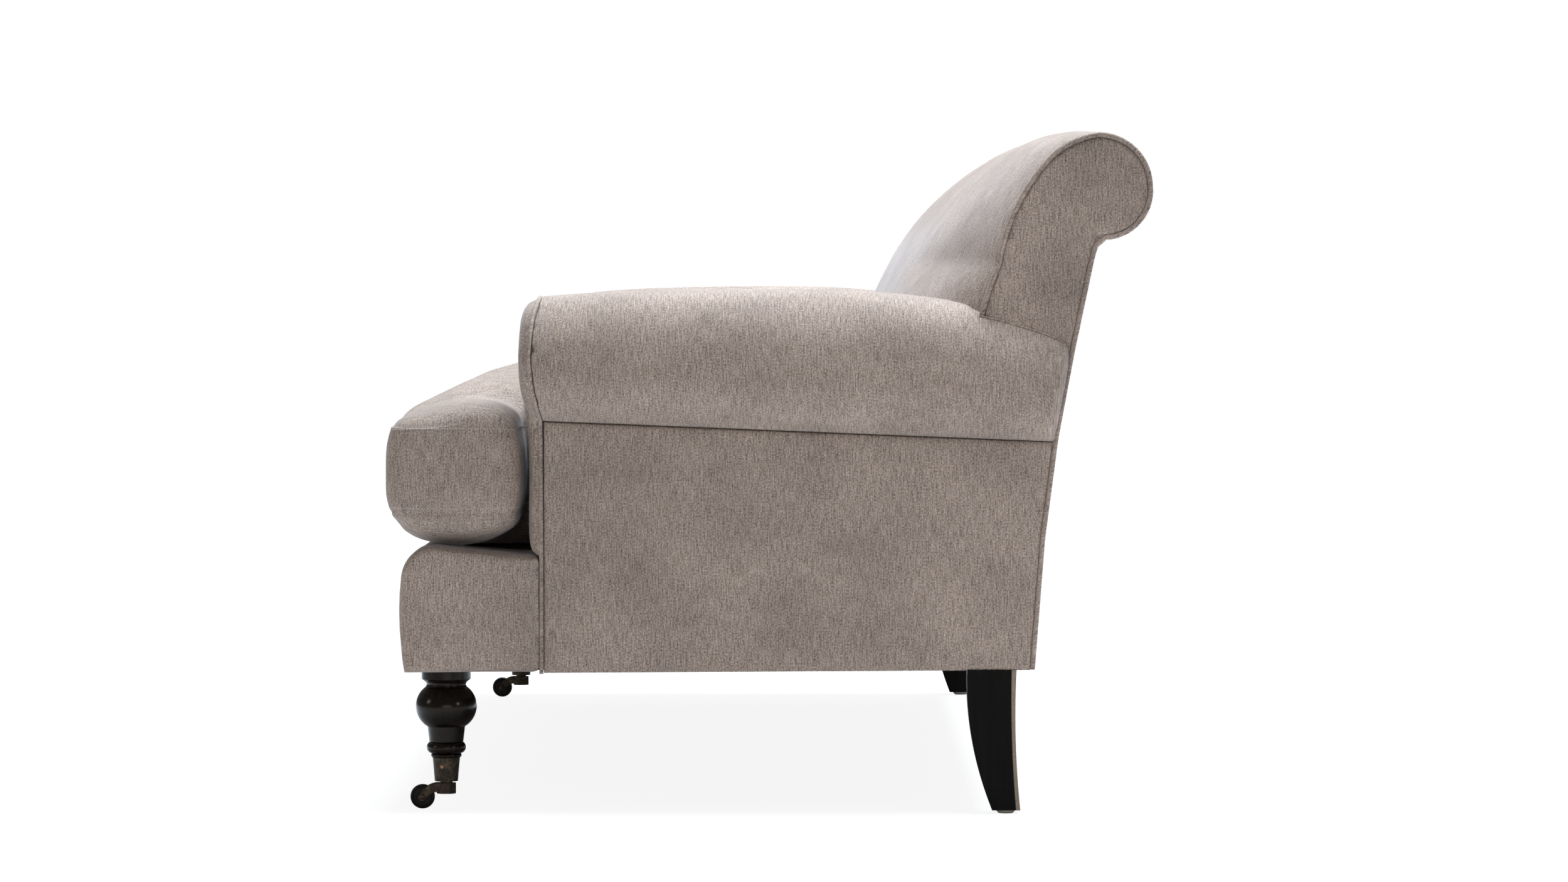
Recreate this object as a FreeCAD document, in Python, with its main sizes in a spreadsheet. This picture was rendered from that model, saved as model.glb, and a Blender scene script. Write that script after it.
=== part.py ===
import FreeCAD, Part
import math
import os
import re
from types import SimpleNamespace

import Sketcher

# Three-cushion roll-arm sofa. Millimetres, +Z up, the sofa faces -Y, and the origin is
# the centre of the bounding box on the floor. "right" is the +X side, "left" the -X side.

V = FreeCAD.Vector
X_AXIS = V(1, 0, 0)
Y_AXIS = V(0, 1, 0)
Z_AXIS = V(0, 0, 1)
ORIGIN = V(0, 0, 0)
DIAGONAL = math.sqrt(0.5)
SIDES = (("left", -1), ("right", 1))

doc = FreeCAD.newDocument("three_cushion_sofa")
sheet = doc.addObject("Spreadsheet::Sheet", "dims")

DIMENSIONS = {
    # Main outline
    "arm_inner": (905.0, "inside face of the arm, from the centre"),
    "arm_body": (165.0, "arm from its inside face to the outside panel"),
    "roll_overhang": (47.5, "reach of the arm roll past the outside panel"),
    "front_reach": (495.5, "front of the seat cushions, ahead of the centre"),
    "underside": (186.5, "bottom edge of the upholstery above the floor"),
    # Timber
    "rail_thick": (30.0, "thickness of the seat rails"),
    "rail_high": (95.0, "height of the seat rails"),
    "front_rail_y": (-458.0, "front face of the front rail"),
    "rear_rail_y": (331.0, "rear face of the rear rail"),
    "stretcher_x": (355.0, "middle of a seat stretcher, from the centre"),
    "stretcher_high": (60.0, "height of the stretchers and corner blocks"),
    "block_leg": (110.0, "side of the triangular corner block"),
    "board_thick": (22.0, "thickness of the arm board and the back uprights"),
    "board_inset": (20.0, "arm board in from the arm's inside pad"),
    "board_drop": (69.0, "arm board below the arm's highest point"),
    "stump_thick": (25.0, "thickness of the arm's front stump"),
    "stump_inset": (8.0, "padding over the edge of the stump"),
    "post_wide": (30.0, "width of a back post along the sofa"),
    "post_deep": (64.0, "depth of a back post"),
    "scroll_rail_radius": (45.0, "rounded rail inside the back's scroll"),
    "post_head_radius": (52.0, "rounded head of a back post"),
    "lower_rail_ahead": (44.0, "back's lower rail ahead of the rear rail's rear face"),
    "lower_rail_rise": (133.5, "back's lower rail above the upholstery's bottom edge"),
    "lower_rail_high": (60.0, "height of the back's lower rail"),
    "upright_x": (300.0, "middle of a back upright, from the centre"),
    "upright_wide": (50.0, "width of a back upright"),
    # Suspension
    "spring_wire": (3.8, "wire of the seat springs"),
    "spring_wide": (48.0, "width of a sinuous seat spring"),
    "spring_pitch": (22.0, "step of the spring's bends"),
    "spring_space": (140.0, "distance between two seat springs"),
    "web_wide": (52.0, "width of a back web"),
    "web_thick": (2.0, "thickness of a back web"),
    "web_space": (220.0, "distance between two back webs"),
    # Covers and pads
    "cloth": (1.5, "dust cover"),
    "panel_thick": (10.0, "padded outside panels"),
    "border_thick": (14.3, "padding ahead of the front rail"),
    "border_high": (152.5, "height of the front border"),
    "shoulder_drop": (15.0, "fall of the front border's top towards the arm"),
    "arm_pad": (20.0, "padding on the inside of the arm"),
    "arm_front": (-291.0, "front edge of the arm cover"),
    "facing_deep": (30.0, "depth of the padded arm facing"),
    "piping_radius": (2.75, "self piping"),
    "arm_high": (494.5, "highest point of the arm above the bottom edge"),
    "fall_front": (12.4, "fall of the arm's crest towards its front"),
    "fall_joint": (30.0, "fall of the arm's crest to where the back meets it"),
    "fall_rear": (73.0, "fall of the arm's crest to the rear piping"),
    "under_front_drop": (173.0, "seam under the roll below the peak, at its front"),
    "under_rear_drop": (199.0, "seam under the roll below the peak, at its rear"),
    "roll_drop": (62.0, "fall of the arm's inner shoulder"),
    # Back
    "roll_y": (424.4, "centre of the back's scroll"),
    "back_high": (626.1, "centre of the scroll above the bottom edge"),
    "roll_radius": (71.1, "scroll over the back"),
    "seat_back": (125.0, "front of the back pad behind the seat"),
    "undercut_ahead": (1.4, "undercut corner ahead of the scroll's centre"),
    "undercut_drop": (77.6, "undercut corner below the scroll's centre"),
    # Seat cushions
    "belly_high": (49.0, "lower boxing seam above the front border"),
    "boxing_high": (108.0, "boxing between the two seams"),
    "crown_high": (82.0, "crown of a seat cushion above its upper seam"),
    "ear_room": (1.0, "cushion's ear ahead of the arm's facing"),
    "cushion_corner": (34.0, "plan corner of a seat cushion"),
    "core_inset": (32.0, "foam core in from the boxing"),
    # Legs and casters
    "leg_inset": (80.0, "front leg axis in from the outside panel"),
    "leg_behind": (36.0, "front leg axis behind the front rail's face"),
    "leg_block": (64.3, "top block of the front leg"),
    "leg_ball": (79.4, "ball of the front leg"),
    "leg_neck": (53.4, "neck of the front leg"),
    "leg_bead": (51.0, "bead of the front leg"),
    "ferrule_top": (67.0, "top of the ferrule above the floor"),
    "ferrule_low": (36.3, "bottom of the ferrule above the floor"),
    "ferrule_wide": (35.6, "ferrule diameter at its top"),
    "ferrule_narrow": (30.3, "ferrule diameter at its bottom"),
    "ferrule_wall": (1.8, "wall of the ferrule"),
    "wheel_radius": (16.0, "caster wheel"),
    "wheel_wide": (15.0, "width of the caster wheel"),
    "caster_trail": (31.0, "caster axle from its swivel axis"),
    "axle_radius": (2.5, "caster axle"),
    "stem_radius": (3.5, "swivel stem"),
    "cheek_thick": (2.5, "cheek of the fork"),
    "rear_leg_wide": (45.0, "width of the rear leg"),
    "glide_radius": (12.5, "nail-on glide"),
    "glide_high": (5.0, "height of the glide"),
    "bolt_radius": (4.0, "leg bolt"),
    "screw_radius": (2.5, "wood screws in the frame"),
    # Fits
    "gap": (0.3, "clearance between soft pieces and around moving ones"),
}

# Places that follow from the sizes, each from the ones before it.
PLACES = {
    "side_face": ("arm_inner + arm_body", "outside arm and back side panels, from the centre"),
    "arm_outer": ("side_face + roll_overhang", "outermost reach of the arm roll"),
    "rail_half": ("side_face - panel_thick", "outer end of the rails and of the back"),
    "border_top": ("underside + border_high", "top of the front border"),
    "shoulder_top": ("border_top - shoulder_drop", "top of the front border at the arm"),
    "seam_low": ("border_top + belly_high", "lower boxing seam"),
    "seam_high": ("seam_low + boxing_high", "upper boxing seam"),
    "crown_top": ("seam_high + crown_high", "crown of a seat cushion"),
    "arm_top_peak": ("underside + arm_high", "highest point of the arm"),
    "arm_top_front": ("arm_top_peak - fall_front", "top of the arm at its front"),
    "arm_top_joint": ("arm_top_peak - fall_joint", "top of the arm where the back meets it"),
    "arm_top_rear": ("arm_top_peak - fall_rear", "top of the arm at the rear piping"),
    "under_front": ("arm_top_peak - under_front_drop", "seam under the arm roll at its front"),
    "under_rear": ("arm_top_peak - under_rear_drop", "seam under the arm roll at its rear"),
    "board_top": ("arm_top_peak - board_drop", "top of the arm board"),
    "roll_z": ("underside + back_high", "centre of the back's scroll above the floor"),
    "undercut_y": ("roll_y - undercut_ahead", "corner where the scroll meets the outside back"),
    "undercut_z": ("roll_z - undercut_drop", "the same corner above the floor"),
    "rear_foot_y": ("rear_rail_y + panel_thick + 1", "foot of the sofa's leaning rear line"),
    "lower_rail_y": ("rear_rail_y - lower_rail_ahead", "front face of the back's lower rail"),
    "lower_rail_z": ("underside + lower_rail_rise", "bottom of the back's lower rail"),
    "ear_rear": ("arm_front - facing_deep - ear_room", "rear of the cushion's ear"),
    "leg_x": ("side_face - leg_inset", "front leg axis, from the centre"),
    "leg_y": ("front_rail_y + leg_behind", "front leg axis"),
    "rear_leg_x": ("side_face - rear_leg_wide", "inner face of the rear leg"),
}

cells = [(alias, str(value), note) for alias, (value, note) in DIMENSIONS.items()]
cells += [(alias, "=" + value, note) for alias, (value, note) in PLACES.items()]
for row, (alias, value, note) in enumerate(cells, start=1):
    sheet.set("A%d" % row, note)
    sheet.set("B%d" % row, value)
    sheet.setAlias("B%d" % row, alias)
doc.recompute()

D = SimpleNamespace(**{alias: float(sheet.get(alias)) for alias, _, _ in cells})
nodes = {}


def bound(text):
    """The expression with each named size read from the sheet."""
    return re.sub(r"[a-z][a-z_]+", lambda word: "dims." + word.group(), text)


def keep(label, item):
    """Register one sub-part under its own label."""
    item.Label = label
    nodes[label] = item
    return item


def feature(label, shape):
    """A sub-part whose form neither primitives nor sketches give."""
    item = doc.addObject("Part::Feature", label)
    item.Shape = shape
    item.Placement = shape.Placement
    return keep(label, item)


def board(name, x, y, z):
    """A box between two expressions along each axis."""
    item = doc.addObject("Part::Box", name)
    for size, axis, (low, high) in (("Length", "x", x), ("Width", "y", y), ("Height", "z", z)):
        item.setExpression(size, bound("(%s) - (%s)" % (high, low)))
        item.setExpression("Placement.Base." + axis, bound(low))
    return item


def profile(label, role, points, start, depth):
    """A PartDesign body: a polygon on an origin plane, padded from start by depth."""
    body = doc.addObject("PartDesign::Body", label)
    plane = [item for item in body.Origin.OriginFeatures if item.Role == role][0]
    sketch = body.newObject("Sketcher::SketchObject", label + "_sketch")
    sketch.AttachmentSupport = [(plane, "")]
    sketch.MapMode = "FlatFace"
    sketch.setExpression("AttachmentOffset.Base.z", bound(start))
    corners = [tuple(read(value) for value in point) for point in points]
    count = len(corners)
    for index in range(count):
        first, second = corners[index], corners[(index + 1) % count]
        sketch.addGeometry(Part.LineSegment(V(*first, 0), V(*second, 0)), False)
    for index in range(count):
        sketch.addConstraint(Sketcher.Constraint("Coincident", index, 2, (index + 1) % count, 1))
        for kind, value, number in zip(("DistanceX", "DistanceY"), points[index], corners[index]):
            place = sketch.addConstraint(Sketcher.Constraint(kind, -1, 1, index, 1, number))
            sketch.setExpression("Constraints[%d]" % place, bound(value))
    pad = body.newObject("PartDesign::Pad", label + "_pad")
    pad.Profile = sketch
    pad.setExpression("Length", bound(depth))
    body.Tip = pad
    return keep(label, body)


def read(text):
    """The number that an expression of named sizes gives."""
    return float(sheet.evalExpression(bound(text)))


def wire_yz(x, edges):
    """A closed wire at one X from (y, z) corners; an item with a middle point is an arc."""
    return outline(edges, lambda point: V(x, point[0], point[1]))


def wire_xz(y, edges):
    """A closed wire at one Y from (x, z) corners."""
    return outline(edges, lambda point: V(point[0], y, point[1]))


def wire_xy(z, edges):
    """A closed wire at one Z from (x, y) corners."""
    return outline(edges, lambda point: V(point[0], point[1], z))


def path(edges, place):
    """Lines and arcs through a list of corners, each (corner, middle of the edge to it)."""
    made = []
    last = place(edges[0][0])
    for corner, middle in edges[1:]:
        here = place(corner)
        if middle is None:
            made.append(Part.LineSegment(last, here).toShape())
        else:
            made.append(Part.Arc(last, place(middle), here).toShape())
        last = here
    return made


def outline(edges, place):
    """The closed wire of path, whose first item says how the last corner goes back."""
    first, middle = edges[0]
    return Part.Wire(path(list(edges) + [(first, middle)], place))


def slab(wire, along):
    """A face of one wire pushed along a vector."""
    return Part.Face(wire).extrude(along)


def mirrored(shape, side):
    """The right-hand shape as it is, or its mirror image for the left."""
    return shape if side > 0 else shape.mirror(ORIGIN, X_AXIS)


def tube(edges, radius, flats=0):
    """Cord along lines and arcs, round or with a number of flats."""
    spine = Part.Wire(edges)
    start = edges[0].valueAt(edges[0].FirstParameter)
    heading = edges[0].tangentAt(edges[0].FirstParameter)
    ring = Part.Wire(Part.Circle(start, heading, radius).toShape())
    if flats:
        ring = Part.makePolygon(ring.discretize(flats + 1))
    return spine.makePipeShell([ring], True, False)


def cord(runs):
    """Cord in smooth runs, each starting where the last one ends, with a ball at each turn."""
    shapes = [tube(edges, D.piping_radius) for edges in runs]
    shapes += [Part.makeSphere(D.piping_radius, edges[0].valueAt(edges[0].FirstParameter))
               for edges in runs[1:]]
    joined = shapes[0].fuse(shapes[1:])
    return max(joined.Solids, key=lambda solid: solid.Volume)


def turned(edges):
    """A solid turned about Z from (radius, height) corners."""
    face = Part.Face(outline(edges, lambda point: V(point[0], 0, point[1])))
    return face.revolve(ORIGIN, Z_AXIS, 360)


def between(value, low, high, start, end):
    """Straight-line value between two ends."""
    return start + (end - start) * (value - low) / (high - low)


# Shared lines of the side view

# The rear line's bends, as shares of its lean and of its height to the undercut.
REAR_BENDS = ((0.0, 0.0), (0.160494, 0.307201), (0.370370, 0.544212), (0.629630, 0.750228),
              (0.938272, 0.967183))
REAR_LINE = tuple((D.rear_foot_y + lean * (D.undercut_y - D.rear_foot_y),
                   D.underside + rise * (D.undercut_z - D.underside)) for lean, rise in REAR_BENDS)
ROLL = (D.roll_y, D.roll_z)


def rear_y(z, inset=0.0):
    """Y of the sofa's leaning rear line at a height, moved forward by inset."""
    points = REAR_LINE + ((D.undercut_y, D.undercut_z),)
    for (low_y, low), (high_y, high) in zip(points, points[1:]):
        if z <= high:
            break
    return between(z, low, high, low_y, high_y) - inset


def rear_edge(inset, low, high):
    """Corners up the rear line between two heights."""
    middle = [(y - inset, z) for y, z in REAR_LINE if low < z < high]
    return [(rear_y(low, inset), low)] + middle + [(rear_y(high, inset), high)]


def on_roll(radius, degrees):
    """A point of the scroll, counted from the rear, upwards."""
    turn = math.radians(degrees)
    return (ROLL[0] + radius * math.cos(turn), ROLL[1] + radius * math.sin(turn))


def straight(points):
    """Corners joined by straight edges."""
    return [(point, None) for point in points]


# Timber frame

FRAME_LOW = "(underside + cloth)"
FRAME_TOP = "(underside + cloth + rail_high)"
BLOCK_TOP = "(underside + cloth + stretcher_high)"
FRONT_INNER = "(front_rail_y + rail_thick)"
REAR_INNER = "(rear_rail_y - rail_thick)"
SIDE_INNER = "(rail_half - rail_thick)"
frame_low = read(FRAME_LOW)
frame_top = read(FRAME_TOP)
front_inner = read(FRONT_INNER)
rear_inner = read(REAR_INNER)
side_inner = read(SIDE_INNER)


def drilled(label, blank, holes):
    """A blank with holes bored through it by a group of cylinders."""
    group = doc.addObject("Part::Feature", label + "_bores")
    group.Shape = Part.makeCompound(holes)
    cut = doc.addObject("Part::Cut", label + "_drilled")
    cut.Base = blank
    cut.Tool = group
    return keep(label, cut)


def leg_bolt_places():
    """Where the four legs are bolted, as (x, y)."""
    rear_x = D.rear_leg_x + D.rear_leg_wide / 2 - 5
    rear_y_place = rear_inner - 20
    return [(side * x, y) for side in (-1, 1)
            for x, y in ((D.leg_x, D.leg_y), (rear_x, rear_y_place))]


def screw_places():
    """Where a screw goes through each corner block into the rail beside it, with its heading."""
    middle = frame_low + D.stretcher_high / 2
    places = []
    for side in (-1, 1):
        x = side * (side_inner - D.block_leg / 2)
        places.append((V(x, front_inner + D.block_leg / 2, middle), V(0, -1, 0)))
        places.append((V(x, rear_inner - D.block_leg / 2, middle), V(0, 1, 0)))
    return places


leg_bolt_length = 55.0
leg_bolt_below = 22.0
screw_length = D.block_leg / 2 + 20
bolt_low = D.underside - leg_bolt_below
bolts = [Part.makeCylinder(D.bolt_radius, leg_bolt_length, V(x, y, bolt_low))
         for x, y in leg_bolt_places()]
screws = [Part.makeCylinder(D.screw_radius, screw_length, place, heading)
          for place, heading in screw_places()]

drilled("front_seat_rail",
        board("front_rail_blank", ("-rail_half", "rail_half"), ("front_rail_y", FRONT_INNER),
              (FRAME_LOW, FRAME_TOP)), screws)
drilled("rear_seat_rail",
        board("rear_rail_blank", ("-rail_half", "rail_half"), (REAR_INNER, "rear_rail_y"),
              (FRAME_LOW, FRAME_TOP)), screws)
for word, side in SIDES:
    span = (SIDE_INNER, "rail_half") if side > 0 else ("-rail_half", "-" + SIDE_INNER)
    drilled("side_seat_rail_" + word,
            board("side_rail_blank_" + word, span, (FRONT_INNER, REAR_INNER),
                  (FRAME_LOW, FRAME_TOP)), bolts)

stretchers = []
for word, side in SIDES:
    middle = "stretcher_x" if side > 0 else "-stretcher_x"
    stretchers.append(board("stretcher_" + word,
                            (middle + " - rail_thick / 2", middle + " + rail_thick / 2"),
                            (FRONT_INNER, REAR_INNER), (FRAME_LOW, BLOCK_TOP)))
doc.recompute()
feature("seat_cross_stretchers", Part.makeCompound([item.Shape for item in stretchers]))


def corner_blocks():
    """Triangular blocks glued in the frame's four corners, drilled for bolts and screws."""
    blocks = []
    for side in (-1, 1):
        for y, inward in ((front_inner, 1), (rear_inner, -1)):
            x = side * side_inner
            corners = [(x, y), (x - side * D.block_leg, y), (x, y + inward * D.block_leg)]
            block = slab(wire_xy(frame_low, straight(corners)), Z_AXIS * D.stretcher_high)
            blocks.append(block.cut(bolts + screws).Solids[0])
    return Part.makeCompound(blocks)


feature("corner_blocks", corner_blocks())


# Arm: a rolled top over a straight inside face

# The roll's arcs swell a little past the corner where they meet.
ARM_CREST_X = (D.arm_inner + D.arm_outer) / 2
ROLL_SWELL = 3.3
ARM_REACH = D.roll_y - 24.4 - D.arm_front
# Where the arm's crest is highest, where the back meets it and where it ends.
PEAK_Y = D.arm_front + ARM_REACH * 0.341534
JOINT_Y = D.arm_front + ARM_REACH * 0.813314
CREST_END_Y = D.arm_front + ARM_REACH * 0.981910
UNDER_END_Y = D.arm_front + ARM_REACH * 0.945007
ARM_STATIONS = (D.arm_front, D.arm_front + ARM_REACH * 0.175109, PEAK_Y,
                D.arm_front + ARM_REACH * 0.580318, JOINT_Y, D.arm_front + ARM_REACH)


def arm_top(y):
    """Height of the arm's crest along the sofa's depth."""
    known = ((D.arm_front, D.arm_top_front), (PEAK_Y, D.arm_top_peak),
             (JOINT_Y, D.arm_top_joint), (CREST_END_Y, D.arm_top_rear))
    total = 0.0
    for y_here, z_here in known:
        weight = 1.0
        for y_other, _ in known:
            if y_other != y_here:
                weight *= (y - y_other) / (y_here - y_other)
        total += weight * z_here
    return total


def arm_under(y):
    """Height of the seam under the arm roll."""
    return between(y, D.arm_front, UNDER_END_Y, D.under_front, D.under_rear)


def arm_edges(y, low, inset=0.0):
    """Cross-section of the arm's outside, from its inner foot over the roll to the seam."""
    top = arm_top(y) - inset
    under = arm_under(y) + inset
    inner = D.arm_inner + inset
    outer = D.arm_outer - inset
    face = D.side_face - inset
    shoulder = arm_top(y) - D.roll_drop
    outer -= ROLL_SWELL
    middle = (top + under) / 2 + 4
    crest = ARM_CREST_X
    inner_round = (crest - (crest - inner) * DIAGONAL, shoulder + (top - shoulder) * DIAGONAL)
    outer_round = (crest + (outer - crest) * DIAGONAL, middle + (top - middle) * DIAGONAL)
    under_round = (face + (outer - face) * 0.8, under + (middle - under) * 0.32)
    return [((inner, low), None), ((inner, shoulder), None), ((crest, top), inner_round),
            ((outer, middle), outer_round), ((face, under), under_round)]


def arm_space(side, grow):
    """Everything inside the arm's outline, grown for a clearance."""
    low = frame_top - 20
    rings = [wire_xz(y, arm_edges(y, low, -grow) + [((D.side_face + grow, low), None)])
             for y in ARM_STATIONS]
    return mirrored(Part.makeLoft(rings, True), side)


def stump_edges(inset):
    """Outline of the arm's front board, inside its padding."""
    edges = arm_edges(D.arm_front, frame_top, inset)
    edges[-1] = ((D.rail_half, edges[-1][0][1]), edges[-1][1])
    return edges + [((D.rail_half, frame_top), None)]


STUMP_REAR = D.arm_front + D.stump_thick
BOARD_X = (D.arm_inner + D.arm_pad + D.board_inset, D.rail_half)


POST_INSET = D.panel_thick + 1


def head_edges(grow, low):
    """Round head of a back post and the line down its front."""
    radius = D.post_head_radius + grow
    neck = D.undercut_z - 18
    front = [(y - D.post_deep - grow, z) for y, z in rear_edge(POST_INSET, low, neck)]
    tail_y = rear_y(D.undercut_z, POST_INSET - grow)
    corners = [((tail_y, ROLL[1] - math.sqrt(radius ** 2 - (tail_y - ROLL[0]) ** 2)), None)]
    corners.append((on_roll(radius, 0), on_roll(radius, -50)))
    corners.append((on_roll(radius, 100), on_roll(radius, 50)))
    corners.append((on_roll(radius, 196), on_roll(radius, 150)))
    return corners + straight(reversed(front))


def post_edges(grow, low):
    """Side outline of a back post: a leaning leg with a round head."""
    rear = rear_edge(POST_INSET - grow, low, D.undercut_z)
    return straight(rear) + head_edges(grow, low)


def post_space(side, grow, low):
    """The room that a back post takes."""
    start = D.rail_half - D.post_wide - grow
    post = slab(wire_yz(start, post_edges(grow, low)), X_AXIS * (D.post_wide + 2 * grow))
    return mirrored(post, side)


def scroll_rail(grow):
    """Round rail along the back's scroll, between the heads of the posts."""
    half = D.rail_half - D.post_wide
    return Part.makeCylinder(D.scroll_rail_radius + grow, 2 * half, V(-half, *ROLL), X_AXIS)


for word, side in SIDES:
    stump = slab(wire_xz(D.arm_front, stump_edges(D.stump_inset)), Y_AXIS * D.stump_thick)
    feature("arm_front_post_" + word, mirrored(stump, side))

for word, side in SIDES:
    feature("back_post_" + word, post_space(side, 0.0, frame_top))

board_end = rear_y(D.board_top - D.board_thick, POST_INSET + D.post_deep)
for word, side in SIDES:
    depth = board_end - STUMP_REAR - 1
    width = BOARD_X[1] - BOARD_X[0]
    plank = Part.makeBox(width, depth, D.board_thick,
                         V(BOARD_X[0], STUMP_REAR, D.board_top - D.board_thick))
    feature("arm_top_board_" + word, mirrored(plank, side))

feature("back_top_rail", scroll_rail(0.0))
keep("back_lower_rail",
     board("lower_rail_blank", ("-(rail_half - post_wide)", "rail_half - post_wide"),
           ("lower_rail_y", "lower_rail_y + board_thick"),
           ("lower_rail_z", "lower_rail_z + lower_rail_high")))


def back_uprights():
    """Two leaning slats from the lower rail to the scroll rail."""
    low = D.lower_rail_z + D.lower_rail_high
    front = [(D.lower_rail_y, low), (ROLL[0] - 40, ROLL[1])]
    rear = [(ROLL[0] - 40 + D.board_thick, ROLL[1]), (D.lower_rail_y + D.board_thick, low)]
    slats = []
    for side in (-1, 1):
        start = side * D.upright_x - D.upright_wide / 2
        slat = slab(wire_yz(start, straight(front + rear)), X_AXIS * D.upright_wide)
        slats.append(slat.cut(scroll_rail(0.0)).Solids[0])
    return Part.makeCompound(slats)


feature("back_uprights", back_uprights())
feature("leg_bolts", Part.makeCompound(bolts))
feature("frame_screws", Part.makeCompound(screws))


# Seat springs and back webs

WIRE_Z = frame_top + D.spring_wire / 2 + 0.1
WIRE_FLATS = 8
DECK_LOW = frame_top + D.spring_wire + 1.8
SPRING_START = front_inner - 10
SPRING_END = rear_inner + 10
spring_columns = int(2 * (D.arm_inner - D.spring_wide) / D.spring_space)
spring_xs = [(index - (spring_columns - 1) / 2) * D.spring_space for index in range(spring_columns)]


def seat_spring(x):
    """A flat sinuous wire from the front rail to the rear rail."""
    bends = round((SPRING_END - SPRING_START) / D.spring_pitch)
    pitch = (SPRING_END - SPRING_START) / bends
    reach = (D.spring_wide - pitch) / 2
    corners = [((x - reach, SPRING_START), None), ((x + reach, SPRING_START), None)]
    for index in range(bends):
        way = 1 if index % 2 == 0 else -1
        y = SPRING_START + index * pitch
        corners.append(((x + way * reach, y + pitch), (x + way * (reach + pitch / 2), y + pitch / 2)))
        corners.append(((x - way * reach, y + pitch), None))
    return tube(path(corners, lambda point: V(point[0], point[1], WIRE_Z)), D.spring_wire / 2, WIRE_FLATS)


def spring_clip(x, y):
    """A bent clip over the spring's end run, nailed to the rail."""
    outer = Part.makeBox(24, 12, D.spring_wire + 1.2, V(x - 12, y - 6, frame_top))
    channel = Part.makeBox(30, D.spring_wire + 0.4, D.spring_wire + 0.2,
                           V(x - 15, y - D.spring_wire / 2 - 0.2, frame_top))
    return outer.cut(channel)


feature("seat_springs", Part.makeCompound([seat_spring(x) for x in spring_xs]))
feature("spring_clips", Part.makeCompound([spring_clip(x, y) for x in spring_xs
                                           for y in (SPRING_START, SPRING_END)]))


def back_webs():
    """Straps from the lower rail up to the scroll rail, behind the pad."""
    low = D.lower_rail_z + 10
    bend = D.lower_rail_z + D.lower_rail_high
    face = D.lower_rail_y - D.web_thick - 0.2
    top_y = ROLL[0] - D.scroll_rail_radius - 0.4
    front = [(face, low), (face, bend), (top_y - D.web_thick, ROLL[1] - 12)]
    rear = [(y + D.web_thick, z) for y, z in reversed(front)]
    count = int(2 * (D.arm_inner - D.web_wide) / D.web_space) + 1
    xs = [(index - (count - 1) / 2) * D.web_space for index in range(count)]
    return Part.makeCompound([slab(wire_yz(x - D.web_wide / 2, straight(front + rear)),
                                   X_AXIS * D.web_wide) for x in xs])


feature("back_webbing", back_webs())


# Seat deck and front border

PANEL_X = D.rail_half + D.gap
PIPING_ROOM = 2 * D.piping_radius + D.gap
BORDER_END = D.arm_front - PIPING_ROOM - D.gap

keep("seat_deck_pad",
     board("deck_blank", ("-(arm_inner - gap)", "arm_inner - gap"),
           (FRONT_INNER + " + gap", "seat_back - gap"),
           (FRAME_TOP + " + spring_wire + 1.8", "border_top")))


def front_border():
    """Padded border over the front rail, with a shoulder and a return at each arm."""
    front = D.front_rail_y - D.border_thick
    roll_y = front_inner - 2
    corners = [((front, D.underside), None),
               ((front - 3, D.border_top - 34), (front - 7, D.underside + 75)),
               ((roll_y, D.border_top), (front + 9, D.border_top - 9)),
               ((front_inner, D.border_top), None),
               ((front_inner, DECK_LOW), None),
               ((D.front_rail_y - D.gap, DECK_LOW), None),
               ((D.front_rail_y - D.gap, D.underside), None)]
    border = slab(wire_yz(-D.side_face, corners), X_AXIS * 2 * D.side_face)
    shoulder = straight([(front_inner - 1, frame_top + D.gap), (front_inner - 1, D.border_top),
                         (BORDER_END, D.shoulder_top), (BORDER_END, frame_top + D.gap)])
    inner = D.arm_inner - D.gap
    low = Part.makeBox(D.side_face - PANEL_X, BORDER_END - D.front_rail_y + 1,
                       D.shoulder_top - D.underside - 10,
                       V(PANEL_X, D.front_rail_y - 1, D.underside))
    top = slab(wire_yz(inner, shoulder), X_AXIS * (D.side_face - inner))
    ends = [mirrored(shape, side) for shape in (low, top) for _, side in SIDES]
    return border.fuse(ends).removeSplitter().Solids[0]


feature("front_border", front_border())


# Arms

def behind(inset, low):
    """Everything behind the rear line moved forward by inset."""
    edge = rear_edge(inset, low, D.undercut_z)
    far = [(D.roll_y + 200, D.undercut_z), (D.roll_y + 200, low)]
    reach = D.arm_outer + 20
    return slab(wire_yz(-reach, straight(edge + far)), X_AXIS * 2 * reach)


def arm_cover():
    """Padded cover of the arm: inside face, roll and overhang, hollow over its frame."""
    low = frame_top + D.gap
    rings = [wire_xz(y, arm_edges(y, low) + straight([(PANEL_X, arm_under(y)), (PANEL_X, low)]))
             for y in ARM_STATIONS]
    cover = Part.makeLoft(rings, True)
    hollow_x = D.arm_inner + D.arm_pad
    hollow = Part.makeBox(PANEL_X - hollow_x, board_end - D.arm_front + 2,
                          D.board_top + D.gap - low + 2, V(hollow_x, D.arm_front - 1, low - 2))
    stump = slab(wire_xz(D.arm_front - 1, stump_edges(D.stump_inset - D.gap)),
                 Y_AXIS * (D.stump_thick + 1 + D.gap))
    rail = Part.makeBox(2 * D.rail_half, D.board_thick + 2 * D.gap, D.lower_rail_high + 2 * D.gap,
                        V(-D.rail_half, D.lower_rail_y - D.gap, D.lower_rail_z - D.gap))
    cover = cover.cut([hollow, stump, rail, post_space(1, D.gap, frame_top - 5)])
    cover = cover.cut(behind(D.panel_thick + D.gap, frame_top - 40))
    return max(cover.Solids, key=lambda solid: solid.Volume)


# Dome of the arm facing: share of its depth, and how far it has drawn in there.
FACING_DOME = ((0.0, 0.2), (0.32, 0.2), (0.58, 2.5), (0.78, 8.0), (0.93, 20.0), (1.0, 38.0))


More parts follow.
